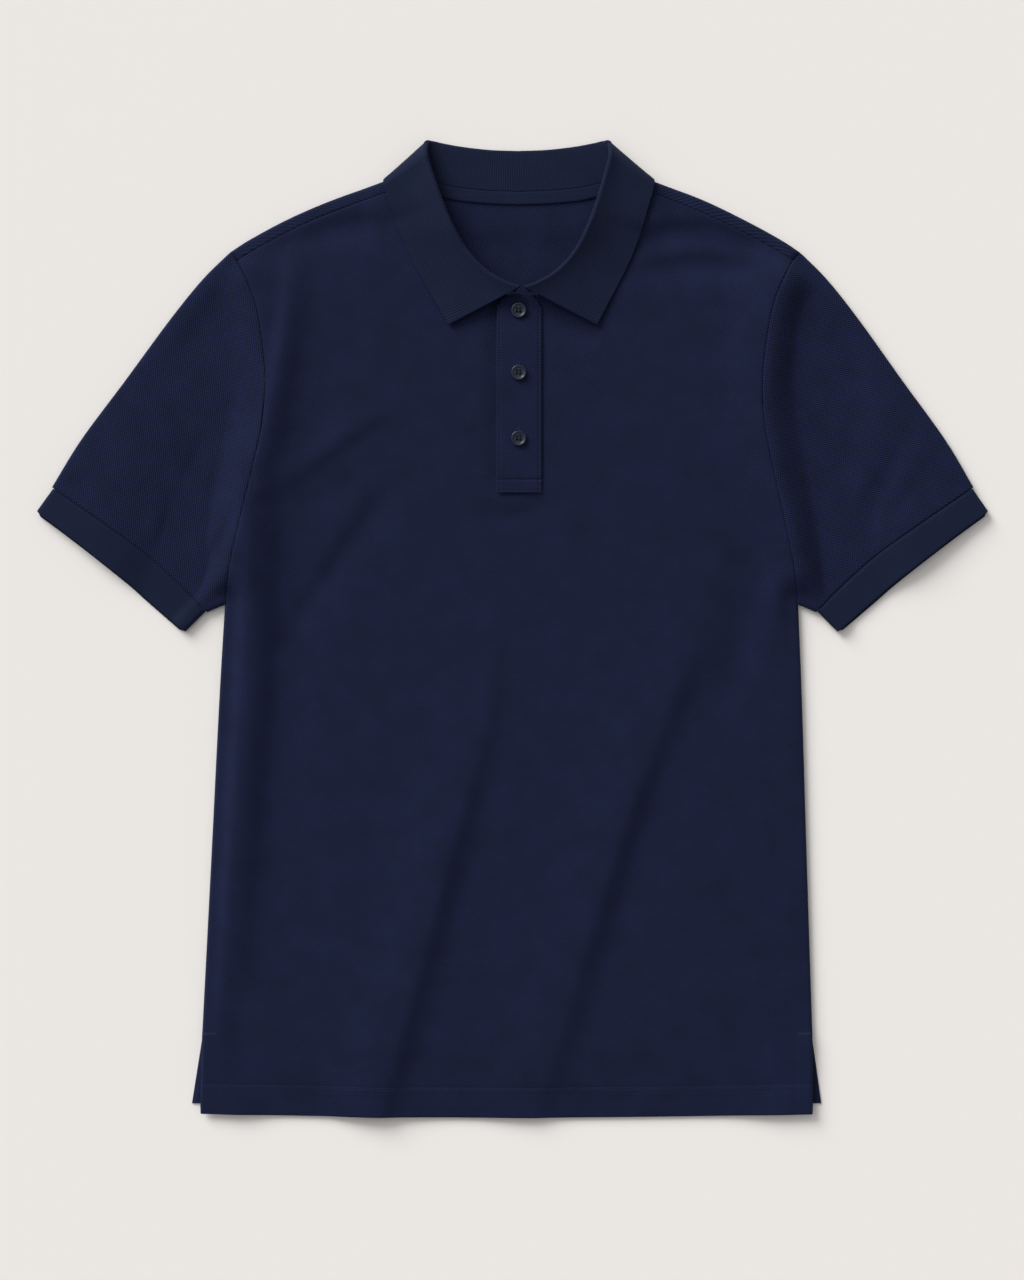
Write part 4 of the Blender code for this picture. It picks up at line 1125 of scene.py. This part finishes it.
def vent_rows():
    """One row beside each vent, as far inside its edge as its facing is wide."""
    rows = []
    top = SIDE_SEAM[-1]
    for side in (-1, 1):
        y = np.linspace(FRONT_HEM_Y + 2, top.y, 40)
        across = np.interp(y, [FRONT_HEM_Y, top.y], [FRONT_CORNER.across, top.across])
        x = lean(y) + side * (across - VENT_DEPTH)
        rows.append(on_surface(x, y, front_height, PANEL_WALL))
    return rows


def vent_tack_rows():
    """The bar tack across the top of each vent."""
    rows = []
    for side in (-1, 1):
        top = SIDE_SEAM[-1].y
        across = np.linspace(SIDE_SEAM[-1].across - VENT_DEPTH, SIDE_SEAM[-1].across - 1.0, 12)
        for drop in (0.0, 0.5, 1.0):
            y = np.full(12, top - drop)
            rows.append(on_surface(lean(y) + side * across, y, front_height, PANEL_WALL))
    return rows


def placket_rows():
    """A row inside each long edge of the placket, and the two that box its foot."""
    reach = PLACKET_WIDTH / 2 - PLACKET_EDGE_STITCH
    up = np.linspace(PLACKET_FOOT_Y + FOOT_STITCH, PLACKET_TOP_Y - 11, 60)
    across = PLACKET_X + np.linspace(-reach, reach, 20)
    places = [(PLACKET_X - reach, up), (PLACKET_X + reach, up)]
    places += [(across, PLACKET_FOOT_Y + above) for above in (FOOT_STITCH, PLACKET_BOX_HEIGHT)]
    return [on_surface(x, y, placket_height, PANEL_WALL) for x, y in places]


def neck_tape_rows():
    """A row inside each edge of the tape."""
    rows = []
    for offset in (NECK_TAPE_STITCH, NECK_TAPE_WIDTH - NECK_TAPE_STITCH):
        line = neck_tape_line(offset)
        rows.append(on_surface(line[:, 0], line[:, 1], neck_tape_height, TAPE_WALL + 0.45))
    return rows


def buttonhole_rows():
    """Close stitches down both edges of each slit."""
    rows = []
    for y in BUTTONS.values():
        places = np.linspace(y - BUTTONHOLE_LENGTH / 2, y + BUTTONHOLE_LENGTH / 2 + 1.5, 24)
        for side in (-1, 1):
            x = BUTTON_X + side * BUTTONHOLE_HALF_WIDTH
            rows.append(on_surface(x, places, placket_height, PANEL_WALL))
    return rows


# --- Buttons --------------------------------------------------------------------------------


def button(name, y):
    """A turned disc with four holes: the profile is carried round, and each hole is a deep dip.

    Height falls to the hole's floor inside each hole's circle, over a short soft wall. Gives back
    the height of the button's underside.
    """
    cloth_height = float(front_height(np.array(BUTTON_X), np.array(y), detail=False))
    base = cloth_height + 1.5 * PANEL_WALL + 2 * LAY_GAP + PLACKET_LIFT
    radius, top = BUTTON_DIAMETER / 2, BUTTON_THICKNESS
    dish = top - BUTTON_DISH
    profile = smooth_curve(
        [
            (0.0, dish),
            (2.6, dish),
            (3.9, top - 0.5),
            (4.6, top - 0.15),
            (5.2, top),
            (5.75, top - 0.1),
            (6.12, dish),
            (radius, 1.3),
            (6.0, 0.75),
            (5.2, 0.1),
            (4.4, 0.0),
            (0.0, 0.0),
        ],
        4,
    )
    # The dish is cut finer for its holes, in place of the profile's first steps
    inner = np.linspace(0.0, 3.6, 30)[:, None] * [1, 0] + [0, dish]
    profile = np.vstack([inner, profile[9:]])
    profile[:, 0] = np.clip(profile[:, 0], 0.004, radius)
    angle = np.linspace(0, 2 * np.pi, 96, endpoint=False)
    x = profile[:, :1] * np.cos(angle)
    across = profile[:, :1] * np.sin(angle)
    z = np.repeat(profile[:, 1:], len(angle), axis=1)
    top_rows = np.arange(len(profile))[:, None] < len(inner)
    for turn in np.pi / BUTTON_HOLES * (1 + 2 * np.arange(BUTTON_HOLES)):
        reach = BUTTON_HOLE_SPACING / np.sqrt(2)
        gap = np.hypot(x - reach * np.cos(turn), across - reach * np.sin(turn))
        dip = 1 - soft_step(gap, BUTTON_HOLE_DIAMETER / 2 - 0.18, BUTTON_HOLE_DIAMETER / 2 + 0.12)
        z -= BUTTON_HOLE_DEPTH * dip * top_rows
    points = np.stack([x + BUTTON_X, across + y, z + base], axis=-1).reshape(-1, 3)
    faces = grid_faces(len(profile), len(angle), True).tolist()
    faces.append(list(range(len(angle))))
    faces.append(list(range(len(points) - len(angle), len(points)))[::-1])
    piece_of(name + "_disc", points, faces, RESIN, name)
    return base


def button_thread_rows(y, base):
    """Two bars of three strands, each from one hole to the next and down into both."""
    reach = BUTTON_HOLE_SPACING / 2
    rows = []
    for side in (-1, 1):
        for shift in (-0.3, 0.0, 0.3):
            run = np.linspace(-reach, reach, 9)
            arch = base + BUTTON_THICKNESS - BUTTON_DISH + 0.28 - 0.9 * np.abs(run / reach) ** 6
            rows.append(np.stack([np.full(9, BUTTON_X + side * reach + shift), y + run, arch], axis=-1))
    return rows


# --- The shirt ------------------------------------------------------------------------------


def make_shirt():
    """Every piece of the shirt."""
    front_patches = [front_half(-1), front_middle(), front_half(1)]
    front = cloth("front_panel", front_patches, PANEL_WALL, COTTON_PIQUE, "front")
    back_patches = [back_half(-1), back_half(1), shoulder_roll(-1), shoulder_roll(1)]
    back = cloth("back_panel", back_patches, PANEL_WALL, COTTON_PIQUE, "back")
    sleeves = [sleeve(-1, "left"), sleeve(1, "right")]
    cuffs = [cuff(-1, "left"), cuff(1, "right")]
    knit_collar = collar()
    tape = neck_tape()
    upper = placket()
    under = placket_under()
    hem = stitches("hem_stitches", hem_rows())
    vents = stitches("vent_stitches", vent_rows())
    tacks = stitches("vent_tacks", vent_tack_rows(), pitch=0.9, length=1.2, width=0.6)
    edges = stitches("placket_stitches", placket_rows())
    tape_stitches = stitches("neck_tape_stitches", neck_tape_rows())
    holes = stitches("buttonhole_stitches", buttonhole_rows(), pitch=0.5, length=0.8, width=0.55)
    thread_rows = []
    for name, y in BUTTONS.items():
        thread_rows += button_thread_rows(y, button(name, y))
    stitches("button_threads", thread_rows, BUTTON_THREAD, width=0.5, length=0.7, pitch=0.45)


# --- Surface, light and camera --------------------------------------------------------------


# In metres: the board lies just under the cloth, and the camera looks down from well above it
BOARD_HALF = 3.0
BOARD_TOP = -0.0002
CAMERA_PLACE = (-0.0004, -0.0092, 2.424)
CAMERA_LENS = 85.0
CAMERA_SENSOR = 36.0


def make_stage():
    """A pale painted board, a big soft light from the upper left, and a camera straight above."""
    half = BOARD_HALF
    mesh = bpy.data.meshes.new("table_top")
    corners = [(-half, -half), (half, -half), (half, half), (-half, half)]
    mesh.from_pydata([(x, y, BOARD_TOP) for x, y in corners], [], [(0, 1, 2, 3)])
    matt = {"Roughness": 0.9, "Specular IOR Level": 0.1, "Base Color": linear("#e6e2de")}
    board, _, _ = blank_material("painted_board_pale", matt)
    mesh.materials.append(board)
    floor = bpy.data.objects.new("table_top", mesh)
    bpy.context.scene.collection.objects.link(floor)

    world = bpy.data.worlds.new("studio")
    bpy.context.scene.world = world
    world.use_nodes = True
    background = world.node_tree.nodes["Background"]
    background.inputs["Color"].default_value = (0.97, 0.98, 1.0, 1.0)
    background.inputs["Strength"].default_value = FILL_STRENGTH

    for row in LIGHTS:
        light = bpy.data.lights.new(row.name, "SUN")
        light.angle = np.radians(row.width)
        light.energy = row.strength
        lamp = bpy.data.objects.new(row.name, light)
        lamp.rotation_euler = (0.0, np.radians(row.height - 90.0), np.radians(-row.heading))
        bpy.context.scene.collection.objects.link(lamp)

    data = bpy.data.cameras.new("overhead")
    data.lens = CAMERA_LENS
    data.sensor_width = CAMERA_SENSOR
    camera = bpy.data.objects.new("overhead", data)
    camera.location = CAMERA_PLACE
    bpy.context.scene.collection.objects.link(camera)
    bpy.context.scene.camera = camera
    bpy.context.scene.view_settings.view_transform = "Standard"


make_shirt()
make_stage()
